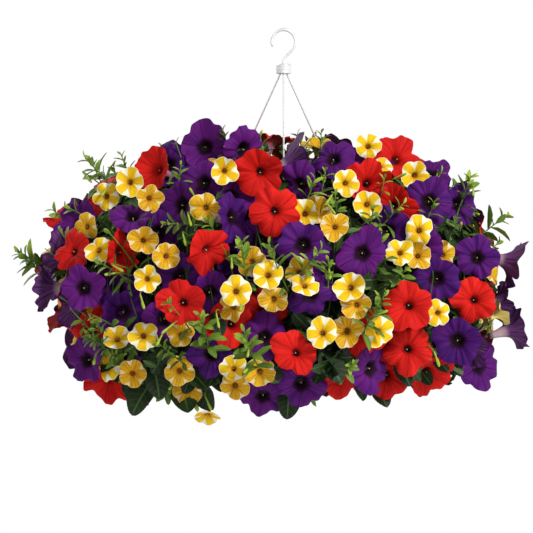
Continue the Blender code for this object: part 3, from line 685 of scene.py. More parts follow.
def fill_rear(plants):
    """Adds blooms by dart throwing over the sides, back and top, wherever the darts find room.

    The first darts are petunias, red unless two of the three nearest are, and the rest calibrachoas."""
    kinds = np.array([bloom[0] for bloom in plants.blooms if bloom[0] in SIZES])
    faces = np.array([bloom[1] for bloom in plants.blooms if bloom[0] in SIZES])
    sizes = np.array([SIZES[kind] for kind in kinds])
    found = {kind: [] for kind in SIZES}
    for throw in range(REAR_DARTS):
        kind = "yellow_calibrachoa"
        if throw >= PETUNIA_DARTS and len(found[kind]) >= REAR_CALIBRACHOAS:
            break
        out = random_out(None, -0.55)
        deep = chance.uniform(2, 26)
        face = shell_point(out, deep)
        while past_outline(face[None], 6)[0] and deep < 90:
            deep += 8
            face = shell_point(out, deep)
        gaps = np.linalg.norm(faces - face, axis=1)
        if throw < PETUNIA_DARTS:
            near = np.where(sizes == SIZES["red_petunia"], gaps, 1e6).argsort()[:3]
            kind = "purple_petunia" if (kinds[near] == "red_petunia").mean() > 0.4 else "red_petunia"
        in_place = face[1] > -45 or out[2] > 0.82
        if in_place and (gaps > 0.86 * (sizes + SIZES[kind])).all() and clear_of_wires(face[None], 30)[0]:
            way = unit(out * (1, 1, 0.8) + (0, 0, 0.12) + 0.25 * chance.normal(size=3))
            found[kind].append((face, way))
            faces = np.vstack([faces, face])
            sizes = np.append(sizes, SIZES[kind])
            kinds = np.append(kinds, kind)
    for kind, pairs in found.items():
        old = len(pairs) // 3 if kind == "yellow_calibrachoa" else 0
        faces, ways = (np.array(column) for column in zip(*pairs))
        plants.add(kind, faces, ways, (np.arange(len(pairs)) < old).astype(float))


def is_sideways(face, way):
    """Whether each bloom is at the front and turned so far to one side that its tube shows."""
    return (np.abs(way[..., 0]) > 0.5) & (way[..., 1] > 0.1) & (face[..., 1] < 0)


class Cover:
    """Tells which points would stand in front of a bloom, in the pot, in the notch or outside the box."""

    def __init__(self, blooms):
        self.blooms = [(face, way, SIZES[kind]) for kind, face, way, _, _ in blooms if kind in SIZES]

    def beside(self, points):
        """For each bloom, its size, and how far each point is ahead of its disc and aside of its axis."""
        for face, way, size in self.blooms:
            away = points - face
            ahead = away @ way
            yield size, ahead, np.linalg.norm(away - ahead[:, None] * way, axis=1)

    def in_funnel(self, points):
        """Whether each point is in a bloom's throat or within 3 mm of its disc."""
        inside = np.zeros(len(points), bool)
        for size, ahead, aside in self.beside(points):
            inside |= (ahead > -size) & (ahead < 12) & (aside < size * (0.42 + 0.01 * np.minimum(ahead, 0)))
            inside |= (np.abs(ahead) < 3) & (aside < 0.9 * size)
        return inside

    def hides_bloom(self, points, over, girth=0):
        """Whether each point, or what its girth takes in, is in a bloom's funnel or this far off its disc."""
        hidden = np.zeros(len(points), bool)
        for size, ahead, aside in self.beside(points):
            aside = aside - 0.5 * girth
            hidden |= (ahead > -6 - 0.4 * girth) & (ahead < over) & (aside < 1.02 * size)
            hidden |= (ahead > -size) & (ahead < 0) & (aside < size * (0.42 + 0.01 * ahead))
        return hidden

    def hides_tube(self, points):
        """Whether each point is seen in front of the tube of a bloom that faces sideways."""
        across, height = seen_at(points)
        hidden = np.zeros(len(points), bool)
        for face, way, size in self.blooms:
            if is_sideways(face, way):
                for share in (0, 0.5, 1):
                    tube_across, tube_height = seen_at(face - way * 1.1 * size * share)
                    gap = np.hypot(across - tube_across, height - tube_height)
                    hidden |= (gap < 0.62 * size) & (points[:, 1] < face[1] + 20)
        return hidden

    def out_of_bounds(self, points):
        """Whether each point is in or under the pot, in the notch in the fringe, or past the box."""
        in_pot = (np.hypot(points[:, 0], points[:, 1]) < 142) & (points[:, 2] < RIM_Z + 3)
        across, height = seen_at(points)
        in_notch = (across > -88) & (across < -38) & (height < -416)
        return in_pot | in_notch | ((points < ROOM_LOW + 4) | (points > ROOM_HIGH - 4)).any(axis=1)

    def free(self, samples, over=45, girth=0):
        """Whether every sample of each candidate is free. Samples has shape (candidates, samples, 3)."""
        flat = samples.reshape(-1, 3)
        bad = self.hides_bloom(flat, over, girth) | self.hides_tube(flat) | self.out_of_bounds(flat)
        bad |= ~clear_of_wires(flat, 6)
        return ~bad.reshape(samples.shape[:2]).any(axis=1)

    def room_for_leaf(self, base, along, length, girth):
        """Whether each leaf is free, ends within the outline and stays above the foot of the fringe."""
        samples = along_leaf(base, along, length, (0, 0.33, 0.67, 1))
        free = self.free(samples, girth=girth) & ~past_outline(samples[:, 3], 0)
        return free & (seen_at(samples)[1].min(axis=1) > FRINGE_Z)


def along_leaf(base, along, length, shares):
    """The points at these shares of each leaf's length."""
    return base[:, None] + along[:, None] * length[:, None, None] * np.array(shares)[:, None]


def drawn_in(points):
    """Points further out than nine tenths of the mound's ellipsoid brought in to it."""
    away = points - MOUND
    half = np.where(away[..., 2] > 0, RISE, DROP)
    sizes = np.stack([0 * half + HALF_WIDTH, 0 * half + HALF_DEPTH, half], axis=-1)
    reach = np.linalg.norm(away / sizes, axis=-1)
    return MOUND + away * np.minimum(1, 0.9 / np.maximum(reach, 1e-6))[..., None]


def best_sways(base, share, cover):
    """For each stalk, the sideways swing of its line, in radians, that passes in front of fewest blooms."""
    swings = np.radians((0, 6, -6, 12, -12, 20, -20, 28, -28))
    paths = np.stack([fountain(base, share, np.full(len(base), swing)) for swing in swings])
    clashes = cover.hides_bloom(paths.reshape(-1, 3), 60).reshape(paths.shape[:3]).sum(axis=2)
    return swings[clashes.argmin(axis=0)]


def grow_blooms(plants, cover):
    """Trumpets, calyxes, stigmas and stalks for every bloom."""
    made = []
    share = np.append(np.linspace(0, 1, 10), (1.0, 1.0))
    for kind, shape in SHAPES.items():
        face, way, age, owner = plants.columns(kind)
        count = len(face)
        radius = shape["radius"] * chance.uniform(0.93, 1.1, count)
        funnel = np.where(is_sideways(face, way), 0.45, chance.uniform(0, 0.16, count))
        made.append(bloom_copies(shape, face, way, radius, SLOTS[kind], owner, age, funnel))
        foot = face - way * (shape["behind"] - 1)
        axes = axes_for(way, chance.uniform(0, TURN, count))
        for turn in TURN * np.arange(5) / 5:
            aside = axes[:, 0] * math.cos(turn) + axes[:, 1] * math.sin(turn)
            size = shape["calyx"] * chance.uniform(0.85, 1.15, count)
            made.append(leaf_copies(
                foot + aside * 1.2, way + 0.42 * aside, -aside, size, size * 0.28, shape["foliage"], owner,
                0.6, ring=THIN_RING, steps=SHORT, fold=0, droop=-0.25,
            ))
        stigma = face - way * (0.2 * shape["radius"])
        thick = np.full(count, 0.055 * shape["radius"])
        made.append(bud_copies(stigma - way * 4, way, np.full(count, 4.4), thick, "pollen", owner, 0.5))
        base = face - way * (shape["behind"] + 7.5)
        path = drawn_in(fountain(base, share, best_sways(base, share, cover)))
        path[:, -2] = base + way * 4
        path[:, -1] = foot + way * 0.5
        bearing = np.arctan2(base[:, 1], base[:, 0])
        aside = np.stack([-np.sin(bearing), np.cos(bearing), 0 * bearing], axis=-1)
        thick = np.linspace(1.2, 0.75, len(share)) * shape["stem"]
        made.append(tube_copies(path, thick, 5, "petunia_foliage", owner, 0.5, aside))
    return made


def sprig_copies(tips, ways, size, owner, cover):
    """Leafy tips: a short bent stem, and leaves round it by the golden angle, smaller and steeper to the tip.

    A leaf that would cut through a bloom is left off."""
    count = len(tips)
    finish = "calibrachoa_foliage"
    axes = axes_for(ways, chance.uniform(0, TURN, count))
    root = tips - ways * (58 * size)[:, None] + (0, 0, -8)
    middle = (tips + root) / 2 + axes[:, 0] * 3
    path = bent_line(root[:, None], middle[:, None], tips[:, None], np.linspace(0, 1, 6)[None, :, None])
    made = [tube_copies(path, np.linspace(1.1, 0.6, 6), 5, finish, owner, 0.6, axes[:, 1])]
    for number in range(SPRIG_LEAVES):
        place = (number + 0.6) / SPRIG_LEAVES
        back = 1 - place
        turn = number * GOLDEN_ANGLE + chance.uniform(-0.25, 0.25, count)
        aside = axes[:, 0] * np.cos(turn)[:, None] + axes[:, 1] * np.sin(turn)[:, None]
        opened = (math.radians(22 + 60 * back**0.7) + chance.uniform(-0.15, 0.15, count))[:, None]
        along = ways * np.cos(opened) + aside * np.sin(opened)
        facing = ways * np.sin(opened) - aside * np.cos(opened)
        base = bent_line(root, middle, tips, place)
        length = (10 + 16 * min(1, back * 2)) * size * chance.uniform(0.85, 1.15, count)
        tone = np.clip(0.48 + 0.44 * place + chance.uniform(-0.15, 0.15, count), 0, 1)
        free = cover.free(along_leaf(base, along, length, (0.2, 0.6, 1)), over=3)
        base, along, facing, length, tone = (each[free] for each in (base, along, facing, length, tone))
        made.append(leaf_copies(
            base, along, facing, length, length * 0.39, finish, owner[free], tone,
            steps=SHORT, belly=1.1, fold=0.3, droop=0.3, blunt=0.62,
        ))
    return made


def front_way(points, up):
    """Ways that lean outwards from the mound's middle, a little to the front and upwards."""
    flat = (points - MOUND) / (HALF_WIDTH, HALF_DEPTH, RISE)
    lean = flat * (1.1, 0.45, 0.6) + up[:, None] * (0.0, 0.0, 1.0)
    return unit(lean + 0.3 * chance.normal(size=points.shape) * (1, 0.3, 0.5))


def grow_sprigs(plants, cover):
    """The listed leafy tips, the leafy shoots' own, and more over the sides, back and top."""
    across, height, size = np.array(SPRIGS, float).T
    tips = front_point(across, height, -14)
    ways = front_way(tips, np.clip((height + 400) / 80, -0.5, 0.55))
    leafy_tips, leafy_ways, _, _ = plants.columns("calibrachoa_leafy")
    count = 900
    out = random_out(count, -0.7)
    more = shell_point(out, chance.uniform(-8, 16, count))
    more_ways = unit(out * (0.9, 0.9, 0.7) + (0, 0, 0.35) + 0.3 * chance.normal(size=(count, 3)))
    samples = np.stack([more, more - more_ways * 15, more - more_ways * 32], axis=1)
    free = cover.free(samples, over=30) & ((more[:, 1] > -60) | (chance.uniform(size=count) < 0.3))
    kept = spaced(more, free & ~past_outline(more, -14), 34)
    tips = np.vstack([tips, leafy_tips, more[kept]])
    ways = np.vstack([ways, leafy_ways, more_ways[kept]])
    size = np.concatenate([size, np.full(len(leafy_tips), 1.1), chance.uniform(0.7, 1.05, len(kept))])
    owner = plants.nearest(tips, ["yellow_calibrachoa", "calibrachoa_leafy"])
    return sprig_copies(tips, ways, size, owner, cover)


def spaced(points, free, gap):
    """Numbers of the free points, less those within the gap of an earlier kept one."""
    kept = []
    for number in np.flatnonzero(free):
        if (np.linalg.norm(points[kept] - points[number], axis=1) > gap).all():
            kept.append(number)
    return kept


def grow_buds(plants, cover):
    """Yellow-green calibrachoa buds on bent stalks: the listed ones hang, and more grow by chance."""
    across, height = np.array(BUDS, float).T
    base = front_point(across, height + 8, -6)
    sway = 0.5 * chance.normal(size=len(base))
    ways = unit(np.stack([sway, -0.6 + 0 * across, -0.8 + 0 * across], axis=-1))
    count = 260
    out = random_out(count, -0.6)
    more = shell_point(out, chance.uniform(0, 12, count))
    more_ways = unit(out + (0, 0, -0.5) + 0.5 * chance.normal(size=(count, 3)))
    free = cover.free(np.stack([more, more + more_ways * 18], axis=1), over=30)
    kept = spaced(more, free & ~past_outline(more, -18), 75)
    base = np.vstack([base, more[kept]])
    ways = np.vstack([ways, more_ways[kept]])
    owner = plants.nearest(base, ["yellow_calibrachoa"])
    count = len(base)
    inward = unit(MOUND - base)
    share = np.linspace(0, 1, 5)[None, :, None]
    path = bent_line((base + inward * 26)[:, None], (base - ways * 8)[:, None], (base + ways)[:, None], share)
    length, thick = chance.uniform(15, 22, count), chance.uniform(2.8, 3.8, count)
    finish = "calibrachoa_foliage"
    return [
        bud_copies(base, ways, length, thick, finish, owner, 1.2),
        tube_copies(path, 0.7, 5, finish, owner, 0.7, inward[:, [1, 2, 0]]),
    ]


def grow_bottom_leaves(plants, cover):
    """Long broad leaves along the bottom, pushed in 5 mm at a time while they hide a bloom."""
    across, height, length, right = np.array(BOTTOM_LEAVES, float).T
    base = front_point(across, height + 6, 18)
    along = unit(np.stack([right * 1.6, -0.3 + 0 * right, -0.6 + 0 * right], axis=-1))
    facing = (0.0, -0.75, 0.65) + 0.3 * chance.normal(size=(len(base), 3))
    for _ in range(4):
        samples = along_leaf(base, along, length, (0.2, 0.6, 1))
        hidden = cover.hides_bloom(samples.reshape(-1, 3), 50, 12).reshape(-1, 3).any(axis=1)
        base[hidden] += unit(MOUND - base[hidden]) * 5
    tone = chance.uniform(-0.2, 0.3, len(base))
    return leaf_copies(
        base, along, facing, length, length * 0.68, "petunia_foliage", plants.nearest(base, PETUNIAS), tone,
        ring=FINE_RING, steps=FINE_OVATE, wavy=0.03, belly=1.0, blunt=0.55,
    )


# Leaves between the blooms: darts, depth, length, slimness, finish, kinds of shoot, spacing and steps.
LEAF_LAYERS = (
    (2600, (20, 46), (32, 50), (0.5, 0.66), "petunia_foliage", PETUNIAS, 17, OVATE),
    (3600, (8, 40), (16, 28), (0.28, 0.38), "calibrachoa_foliage", ["yellow_calibrachoa"], 11, SHORT),
)


def grow_leaves(plants, cover):
    """Broad petunia leaves near the surface, mostly behind and below, and small leaves in the gaps."""
    made = [grow_bottom_leaves(plants, cover)]
    for count, deep, sizes, slim, finish, kinds, gap, steps in LEAF_LAYERS:
        out = random_out(count, -0.85)
        base = shell_point(out, chance.uniform(*deep, count))
        swing = chance.normal(size=(count, 3))
        lean = chance.uniform(0.1, 0.9, (count, 1))
        along = unit(unit(np.cross(out, swing)) * 0.85 + out * lean + (0, 0, -0.1))
        length = chance.uniform(*sizes, count)
        broad = kinds is PETUNIAS
        free = cover.room_for_leaf(base, along, length, girth=8 if broad else 3)
        if broad:
            tip = base + along * length[:, None]
            free &= (tip[:, 1] > 40) | (tip[:, 2] < -340) | (chance.uniform(size=count) < 0.25)
        kept = spaced(base, free, gap)
        base, along, out, length = base[kept], along[kept], out[kept], length[kept]
        facing = unit(out + 0.7 * chance.normal(size=base.shape) + (0, 0, 0.35))
        width = length * chance.uniform(*slim, len(base))
        made.append(leaf_copies(
            base, along, facing, length, width, finish, plants.nearest(base, kinds),
            chance.uniform(-0.1, 0.7, len(base)), steps=steps, wavy=0.06, belly=0.95, blunt=0.65,
        ))
    return made


def grow_filling(cover):
    """Crowded small leaves between 24 and 95 mm inside the mound, in six sectors, darkened as painted shade.
    """
    count = 6500
    out = random_out(count, -0.85)
    base = shell_point(out, chance.uniform(24, 95, count))
    along = unit(out * 0.5 + 0.8 * chance.normal(size=(count, 3)))
    length = chance.uniform(30, 50, count)
    free = cover.room_for_leaf(base, along, length, girth=8)
    base, along, out, length = base[free], along[free], out[free], length[free]
    facing = unit(out + 0.6 * chance.normal(size=base.shape))
    sector = np.floor(np.arctan2(base[:, 1], base[:, 0]) / TURN * SECTORS).astype(int) % SECTORS
    # Low tones make these leaves dark: painted shade for the gaps deep inside the mound.
    tone = chance.uniform(-0.4, 0.15, len(base))
    return leaf_copies(
        base, along, facing, length, length * 0.62, "petunia_foliage", sector, tone,
        ring=THIN_RING, steps=SHORT,
    )


# ---- Pot, soil, hook and wires ----

def turned_copies(profile, sides, finish, ribs=0.0, rib_count=1):
    """One shape turned about the z axis from pole to pole.

    Radius and height follow the profile. Its third number scales the ribs, waves of max(0, cos(count a))^6
    outwards."""
    radius, height, ribbed = np.array(profile, float).T[:, :, None]
    angle = np.linspace(0, TURN, sides, endpoint=False)
    radius = radius + ribs * ribbed * np.maximum(0, np.cos(rib_count * angle)) ** 6
    height = height + 0 * radius
    rings = polar(radius, angle, height)[None, 1:-1]
    poles = np.array([(0, 0, profile[0][1]), (0, 0, profile[-1][1])], float)
    points = with_poles(rings, poles[:1], poles[1:])
    count = len(profile) - 2
    uv = strip_uv(np.tile(np.arange(sides) / sides, count), np.repeat(np.linspace(0, 1, count), sides), 0.5)
    return Copies(points, count, sides, uv, finish, 0)


def pot_radius(height):
    """Radius of the pot's tapered outer wall at a height."""
    share = (RIM_Z - height) / (RIM_Z - POT_LOW[2])
    return (RIM_RADIUS - FLANGE) * (1 - share) + BASE_RADIUS * share


def pot_profile():
    """Half section of the pot, from the middle of its floor up inside, over the rim and down to its base."""
    base = POT_LOW[2]
    lip = RIM_RADIUS - 1.4
    flange = RIM_RADIUS - FLANGE
    flat = BASE_RADIUS - BASE_CORNER
    points = [(0, base + WALL, 0), (flat, base + WALL, 0), (BASE_RADIUS - WALL, base + 8, 0)]
    points += [(pot_radius(z) - WALL, z, 0) for z in np.linspace(base + 20, RIM_Z - 4, 8)]
    points += [(flange - 0.5, RIM_Z - 0.5, 0), (flange + 1, RIM_Z, 0), (lip - 2, RIM_Z, 0)]
    turns = np.linspace(0.2, 3.4, 8)
    points += [(lip + 1.4 * math.sin(turn), RIM_Z - 1.4 + 1.4 * math.cos(turn), 0) for turn in turns]
    points += [(lip - 2, RIM_Z - WALL, 0), (flange + 1.5, RIM_Z - WALL, 0)]
    points += [(pot_radius(RIM_Z - 6) + 0.2, RIM_Z - 4.5, 0), (pot_radius(RIM_Z - 14) + 0.3, RIM_Z - 14, 0)]
    points += [(pot_radius(RIM_Z - 15), RIM_Z - 15, 0), (pot_radius(RIM_Z - 18), RIM_Z - 18, 1)]
    points += [(pot_radius(z), z, 1) for z in np.linspace(RIM_Z - 30, base + 24, 8)]
    points += [(pot_radius(base + 16), base + 16, 0)]
    points += [
        (flat + BASE_CORNER * math.cos(turn), base + BASE_CORNER * (1 - math.sin(turn)), 0)
        for turn in np.linspace(0.1, math.pi / 2, 7)
    ]
    points += [(flat - 6, base, 0), (flat - 7.5, base + 0.7, 0), (flat - 9, base + 0.7, 0)]
    points += [(reach, base + 0.7, 0) for reach in (DRAIN_RING + 7, DRAIN_RING - 7, 46, 40)]
    points += [(38.5, base + 1.2, 0), (37, base + 1.2, 0), (12, base + 1.2, 0), (0, base + 1.2, 0)]
    return points


def make_pot(finishes):
    """The moulded pot: turned with shallow ribs, then its drain holes and wire holes are cut through."""
    body = turned_copies(pot_profile(), 144, "pot_plastic", ribs=0.6, rib_count=24)
    pot = make_piece("moulded_basket", [body], 0, finishes)
    drains = [(DRAIN_RING, TURN * i / 6, POT_LOW[2], DRAIN_RADIUS) for i in range(6)]
    holes = [(WIRE_HOLE_RING, math.radians(deg), RIM_Z, WIRE_HOLE_RADIUS) for deg in WIRE_ANGLES_DEG]
    radius, angle, height, size = np.array(drains + holes).T
    middle = polar(radius, angle, height)
    path = middle[:, None] + np.array((-6.0, 0.0, 6.0))[:, None] * (0, 0, 1)
    across = np.tile((1.0, 0.0, 0.0), (len(path), 1))
    cutters = tube_copies(path, size[:, None], 20, "pot_plastic", 0, 0.5, across)
    cutter = make_piece("hole_cutter", [cutters], 0, finishes)
    cut = pot.modifiers.new("holes", "BOOLEAN")
    cut.operation = "DIFFERENCE"
    cut.solver = "EXACT"
    cut.object = cutter
    graph = bpy.context.evaluated_depsgraph_get()
    pot.data = bpy.data.meshes.new_from_object(pot.evaluated_get(graph))
    pot.modifiers.clear()
    pot.data.set_sharp_from_angle(angle=math.radians(35))
    bpy.data.objects.remove(cutter)
    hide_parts("basket")


def make_soil(finishes):
    """Peat: a turned body whose top swells and crumbles as a sum of random waves, with loose grains on it."""
    top, bottom = SOIL_Z - 3, SOIL_LOW[2]
    wall = pot_radius(top) - WALL - 0.8
    profile = [(0, top, 0)] + [(wall * share, top, 0) for share in np.linspace(0.02, 1, 46)]
    profile += [(wall, top - 2, 0), (pot_radius(bottom + 6) - WALL - 1.2, bottom + 6, 0), (0, bottom, 0)]
    body = turned_copies(profile, 120, "soil")
    points = body.points[0]
    surface = points[:, 2] > top - 1
    swell = 2.2 * (1 - (np.hypot(points[:, 0], points[:, 1]) / wall) ** 2)
    for length, size in ((60, 0.8), (31, 0.6), (17, 0.5), (9, 0.4), (6, 0.35)):
        bearing, phase = chance.uniform(0, TURN, (2, 3))
        for turn, start in zip(bearing, phase):
            along = points[:, :2] @ (math.cos(turn), math.sin(turn))
            swell = swell + size * np.sin(TURN / length * along + start)
    body.points = (points + np.outer(surface * swell, (0, 0, 1)))[None]
    count, white = 420, 120
    reach, turn = (wall - 4) * np.sqrt(chance.uniform(0, 1, count)), chance.uniform(0, TURN, count)
    base = polar(reach, turn, top + chance.uniform(-0.5, 1.5, count))
    ways = unit(chance.normal(size=(count, 3)))
    size = chance.uniform(1.6, 4.2, count)
    dark = bud_copies(base[white:], ways[white:], size[white:], size[white:] * 0.8, "soil", 0, 0.5)
    pale = bud_copies(base[:white], ways[:white], size[:white], size[:white] * 0.9, "perlite", 0, 0.5)
    soil = make_piece("peat", [body, dark, pale], 0, finishes)
    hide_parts("potting_soil")


def make_hook(finishes):
    """A round rod bent over in an arc with a rounded end, standing in a turned hub with two grooves."""
    hub_top = HUB_Z + HUB_HEIGHT
    share = np.linspace(0, 1, 14)[:, None]
    start = math.radians(HOOK_FROM_DEG)
    foot = np.array((0, hub_top + 2.0))
    mouth = HOOK_BEND * np.array((math.cos(start), math.sin(start))) + (0, -12)
    out = np.array((-math.sin(start), math.cos(start))) * 8
    curve = (
        foot * (1 - share) ** 3 + 3 * (foot + (0, 8)) * share * (1 - share) ** 2
        + 3 * (mouth - out) * share**2 * (1 - share) + mouth * share**3
    )
    turn = np.radians(np.linspace(HOOK_FROM_DEG, HOOK_MOUTH_DEG, 48))[1:, None]
    arc = HOOK_BEND * np.concatenate([np.cos(turn), np.sin(turn)], axis=1) + (0, -12)
    path = np.insert(np.concatenate([[(0, hub_top - 6)], curve, arc]), 1, 0, axis=1)[None]
    radii = np.full(path.shape[:2], HOOK_ROD / 2)
    radii[0, -3:] *= (0.97, 0.8, 0.4)
    rod = tube_copies(path, radii, 20, "galvanised_wire", 0, 0.5, np.array([(0.0, 1.0, 0.0)]))
    hub = [(0, 0), (7, 0), (8.4, 0.5), (HUB_RADIUS, 1.6)]
    for groove in (4, 8):
        hub += [(HUB_RADIUS, groove - 0.9), (8.3, groove), (HUB_RADIUS, groove + 0.9)]
    hub += [(HUB_RADIUS, HUB_HEIGHT - 1.6), (8.4, HUB_HEIGHT - 0.5), (7, HUB_HEIGHT), (0, HUB_HEIGHT)]
    hub = turned_copies([(radius, HUB_Z + height, 0) for radius, height in hub], 64, "galvanised_wire")
    hook = make_piece("hook_and_hub", [rod, hub], 0, finishes)
    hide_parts("hanger_hook")


def make_wires(finishes):
    """Three round wires, each from under the rim's flange up through its hole and on to the hub."""
    under = RIM_Z - WALL - WIRE_DIAMETER - 0.3
    turn = np.linspace(0, -math.pi, 17)
    reach = WIRE_HOLE_RING + WIRE_BEND * (1 + np.cos(turn))
    bend = np.stack([reach, under + WIRE_BEND * np.sin(turn)], axis=-1)
    top = np.array((WIRE_TOP_RADIUS, HUB_Z))
    foot = np.array((WIRE_HOLE_RING, RIM_Z + WIRE_BEND))
    run = foot + np.linspace(0, 1, 12)[:, None] * (top - foot)
    start = (WIRE_HOLE_RING + 2 * WIRE_BEND, RIM_Z + 1)
    flat = np.concatenate([[start], bend, run, [top + unit(top - foot) * 6]])
    for number, deg in enumerate(WIRE_ANGLES_DEG, 1):
        bearing = math.radians(deg)
        out = np.array((math.cos(bearing), math.sin(bearing), 0))
        path = (flat[:, :1] * out + flat[:, 1:] * (0, 0, 1))[None]
        aside = np.array([(-math.sin(bearing), math.cos(bearing), 0)])
        copies = tube_copies(path, WIRE_DIAMETER / 2, 12, "galvanised_wire", 0, 0.5, aside)
        wire = make_piece(f"bent_wire_{number}", [copies], 0, finishes)
        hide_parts(f"hanger_wire_{number}")


# ---- Meshes ----


def make_piece(name, copies, owner, finishes):
    """One mesh object of all the copies that this owner has, with their UVs, values and finishes."""
    points, uv, margin, corners, starts, slots = [], [], [], [], [], []
    values = {"tone": [], "age": [], "back": []}
    used = []
    offset = 0
    corner_count = 0
    for batch in copies:
        chosen = batch.owner == owner
        count = int(chosen.sum())
        if not count:
            continue
        if batch.finish not in used:
            used.append(batch.finish)
        size = batch.points.shape[1]
        first = offset + size * np.arange(count)[:, None, None]
        for faces in (batch.quads, batch.fans):
            sides = faces.shape[1]
            corners.append((faces + first).reshape(-1))
            faces_here = count * len(faces)
            starts.append(corner_count + sides * np.arange(faces_here))
            slots.append(np.full(faces_here, used.index(batch.finish)))
            corner_count += sides * faces_here
        points.append(batch.points[chosen].reshape(-1, 3))
        uv.append(batch.uv[chosen].reshape(-1, 2))
        margin.append(batch.margin[chosen].reshape(-1))
        for key, value in batch.values.items():
            values[key].append(value[chosen].reshape(-1))
        offset += size * count
    corners = np.concatenate(corners)
    starts = np.concatenate(starts)
    mesh = bpy.data.meshes.new(name)
    mesh.vertices.add(offset)
    mesh.vertices.foreach_set("co", (np.concatenate(points) * MM).astype(np.float32).ravel())
    mesh.loops.add(len(corners))
    mesh.loops.foreach_set("vertex_index", corners.astype(np.int32))
    mesh.polygons.add(len(starts))
    mesh.polygons.foreach_set("loop_start", starts.astype(np.int32))
    mesh.polygons.foreach_set("material_index", np.concatenate(slots).astype(np.int32))
    layer = mesh.uv_layers.new(name="UVMap")
    layer.data.foreach_set("uv", np.concatenate(uv)[corners].astype(np.float32).ravel())
    mesh.update(calc_edges=True)
    for key, parts in values.items():
        attribute = mesh.attributes.new(key, "FLOAT", "POINT")
        attribute.data.foreach_set("value", np.concatenate(parts).astype(np.float32))
    ends = np.empty(2 * len(mesh.edges), np.int32)
    mesh.edges.foreach_get("vertices", ends)
    on_margin = np.concatenate(margin).astype(bool)[ends.reshape(-1, 2)].all(axis=1)
    mesh.shade_smooth()
    mesh.edges.foreach_set("use_edge_sharp", on_margin)
    for finish in used:
        mesh.materials.append(finishes[finish])
    piece = bpy.data.objects.new(name, mesh)
    bpy.context.scene.collection.objects.link(piece)
    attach(piece, "root")
    return piece


# ---- Finishes ----


def operator(operation, reflected=False):
    """A method that adds a Math node, with its two values the other way round if it is reflected."""

    def method(value, other):
        return value.nodes.maths(operation, *((other, value) if reflected else (value, other)))

    return method


class Value:
    """A shader socket on which Python's arithmetic adds Math nodes."""

    def __init__(self, nodes, socket):
        self.nodes = nodes
        self.socket = socket

    __add__ = __radd__ = operator("ADD")
    __sub__, __rsub__ = operator("SUBTRACT"), operator("SUBTRACT", reflected=True)
    __mul__ = __rmul__ = operator("MULTIPLY")
    __truediv__ = operator("DIVIDE")


class Nodes:
    """A node tree being filled."""

    def __init__(self, tree):
        self.tree = tree

    def node(self, kind, settings=None, inputs=None):
        """Any node: its settings first, with a ramp's stops, then the values or links of its sockets."""
        made = self.tree.nodes.new(kind)
        for key, value in (settings or {}).items():
            if key == "stops":
                self.set_stops(made.color_ramp.elements, value)
            else:
                setattr(made, key, value)
        for key, value in (inputs or {}).items():
            if isinstance(value, Value):
                self.tree.links.new(value.socket, made.inputs[key])
            else:
                made.inputs[key].default_value = value
        return made

    @staticmethod
    def set_stops(elements, stops):
        """Grey stops on a ramp, from its start to its end."""
        for place, _ in stops[1:-1]:
            elements.new(place)
        for element, (_, grey) in zip(elements, stops):
            element.color = rgb(grey, grey, grey)

    def value(self, kind, settings=None, inputs=None, output=0):
        """One output of a new node, ready for arithmetic."""
        return Value(self, self.node(kind, settings, inputs).outputs[output])

    def maths(self, operation, *values):
        """A Math node."""
        return self.value("ShaderNodeMath", {"operation": operation}, dict(enumerate(values)))

    def smooth(self, value, low, high):
        """0 below low, 1 above high, and smooth between."""
        ends = {"Value": value, "From Min": low, "From Max": high}
        return self.value("ShaderNodeMapRange", {"interpolation_type": "SMOOTHSTEP"}, ends, "Result")

    def mix(self, factor, first, second):
        """Colour between the first and the second."""
        return self.value("ShaderNodeMix", {"data_type": "RGBA"}, {0: factor, 6: first, 7: second}, 2)

    def noise(self, place, scale, detail=2.0, roughness=0.5):
        """Noise about 0.5, with this many cells a metre where the place is in metres."""
        look = {"Vector": place, "Scale": scale, "Detail": detail, "Roughness": roughness}
        return self.value("ShaderNodeTexNoise", None, look)

    def carried(self, name):
        """A value that the mesh's points carry."""
        return self.value("ShaderNodeAttribute", {"attribute_name": name}, None, "Fac")

    def place(self):
        """Object coordinates, in metres."""
        return self.value("ShaderNodeTexCoord", output="Object")

    def uv(self):
        """The two halves of the piece's UV."""
        uv = self.value("ShaderNodeUVMap", {"uv_map": "UVMap"})
        parts = self.node("ShaderNodeSeparateXYZ", None, {0: uv})
        return Value(self, parts.outputs[0]), Value(self, parts.outputs[1])

    def vector(self, x, y, z):
        """Three values as one vector."""
        return self.value("ShaderNodeCombineXYZ", None, {0: x, 1: y, 2: z})


class Finish(Nodes):
    """A material under construction."""

    def __init__(self, name, roughness, **fixed):
        self.material = bpy.data.materials.new(name)
        self.material.use_nodes = True
        super().__init__(self.material.node_tree)
        self.shader = self.tree.nodes["Principled BSDF"]
        self.shader.inputs["Roughness"].default_value = roughness
        for socket, value in fixed.items():
            self.shader.inputs[socket.replace("_", " ")].default_value = value

    def paint(self, colour, roughness=None, height=None, depth=0.0005, strength=0.5):
        """Links what varies to the shader, and gives the material."""
        self.tree.links.new(colour.socket, self.shader.inputs["Base Color"])
        if roughness is not None:
            self.tree.links.new(roughness.socket, self.shader.inputs["Roughness"])
        if height is not None:
            relief = {"Height": height, "Distance": depth, "Strength": strength}
            bump = self.node("ShaderNodeBump", None, relief)
            self.tree.links.new(bump.outputs[0], self.shader.inputs["Normal"])
        return self.material


def rgb(red, green, blue):
    """An opaque colour."""
    return (red, green, blue, 1.0)


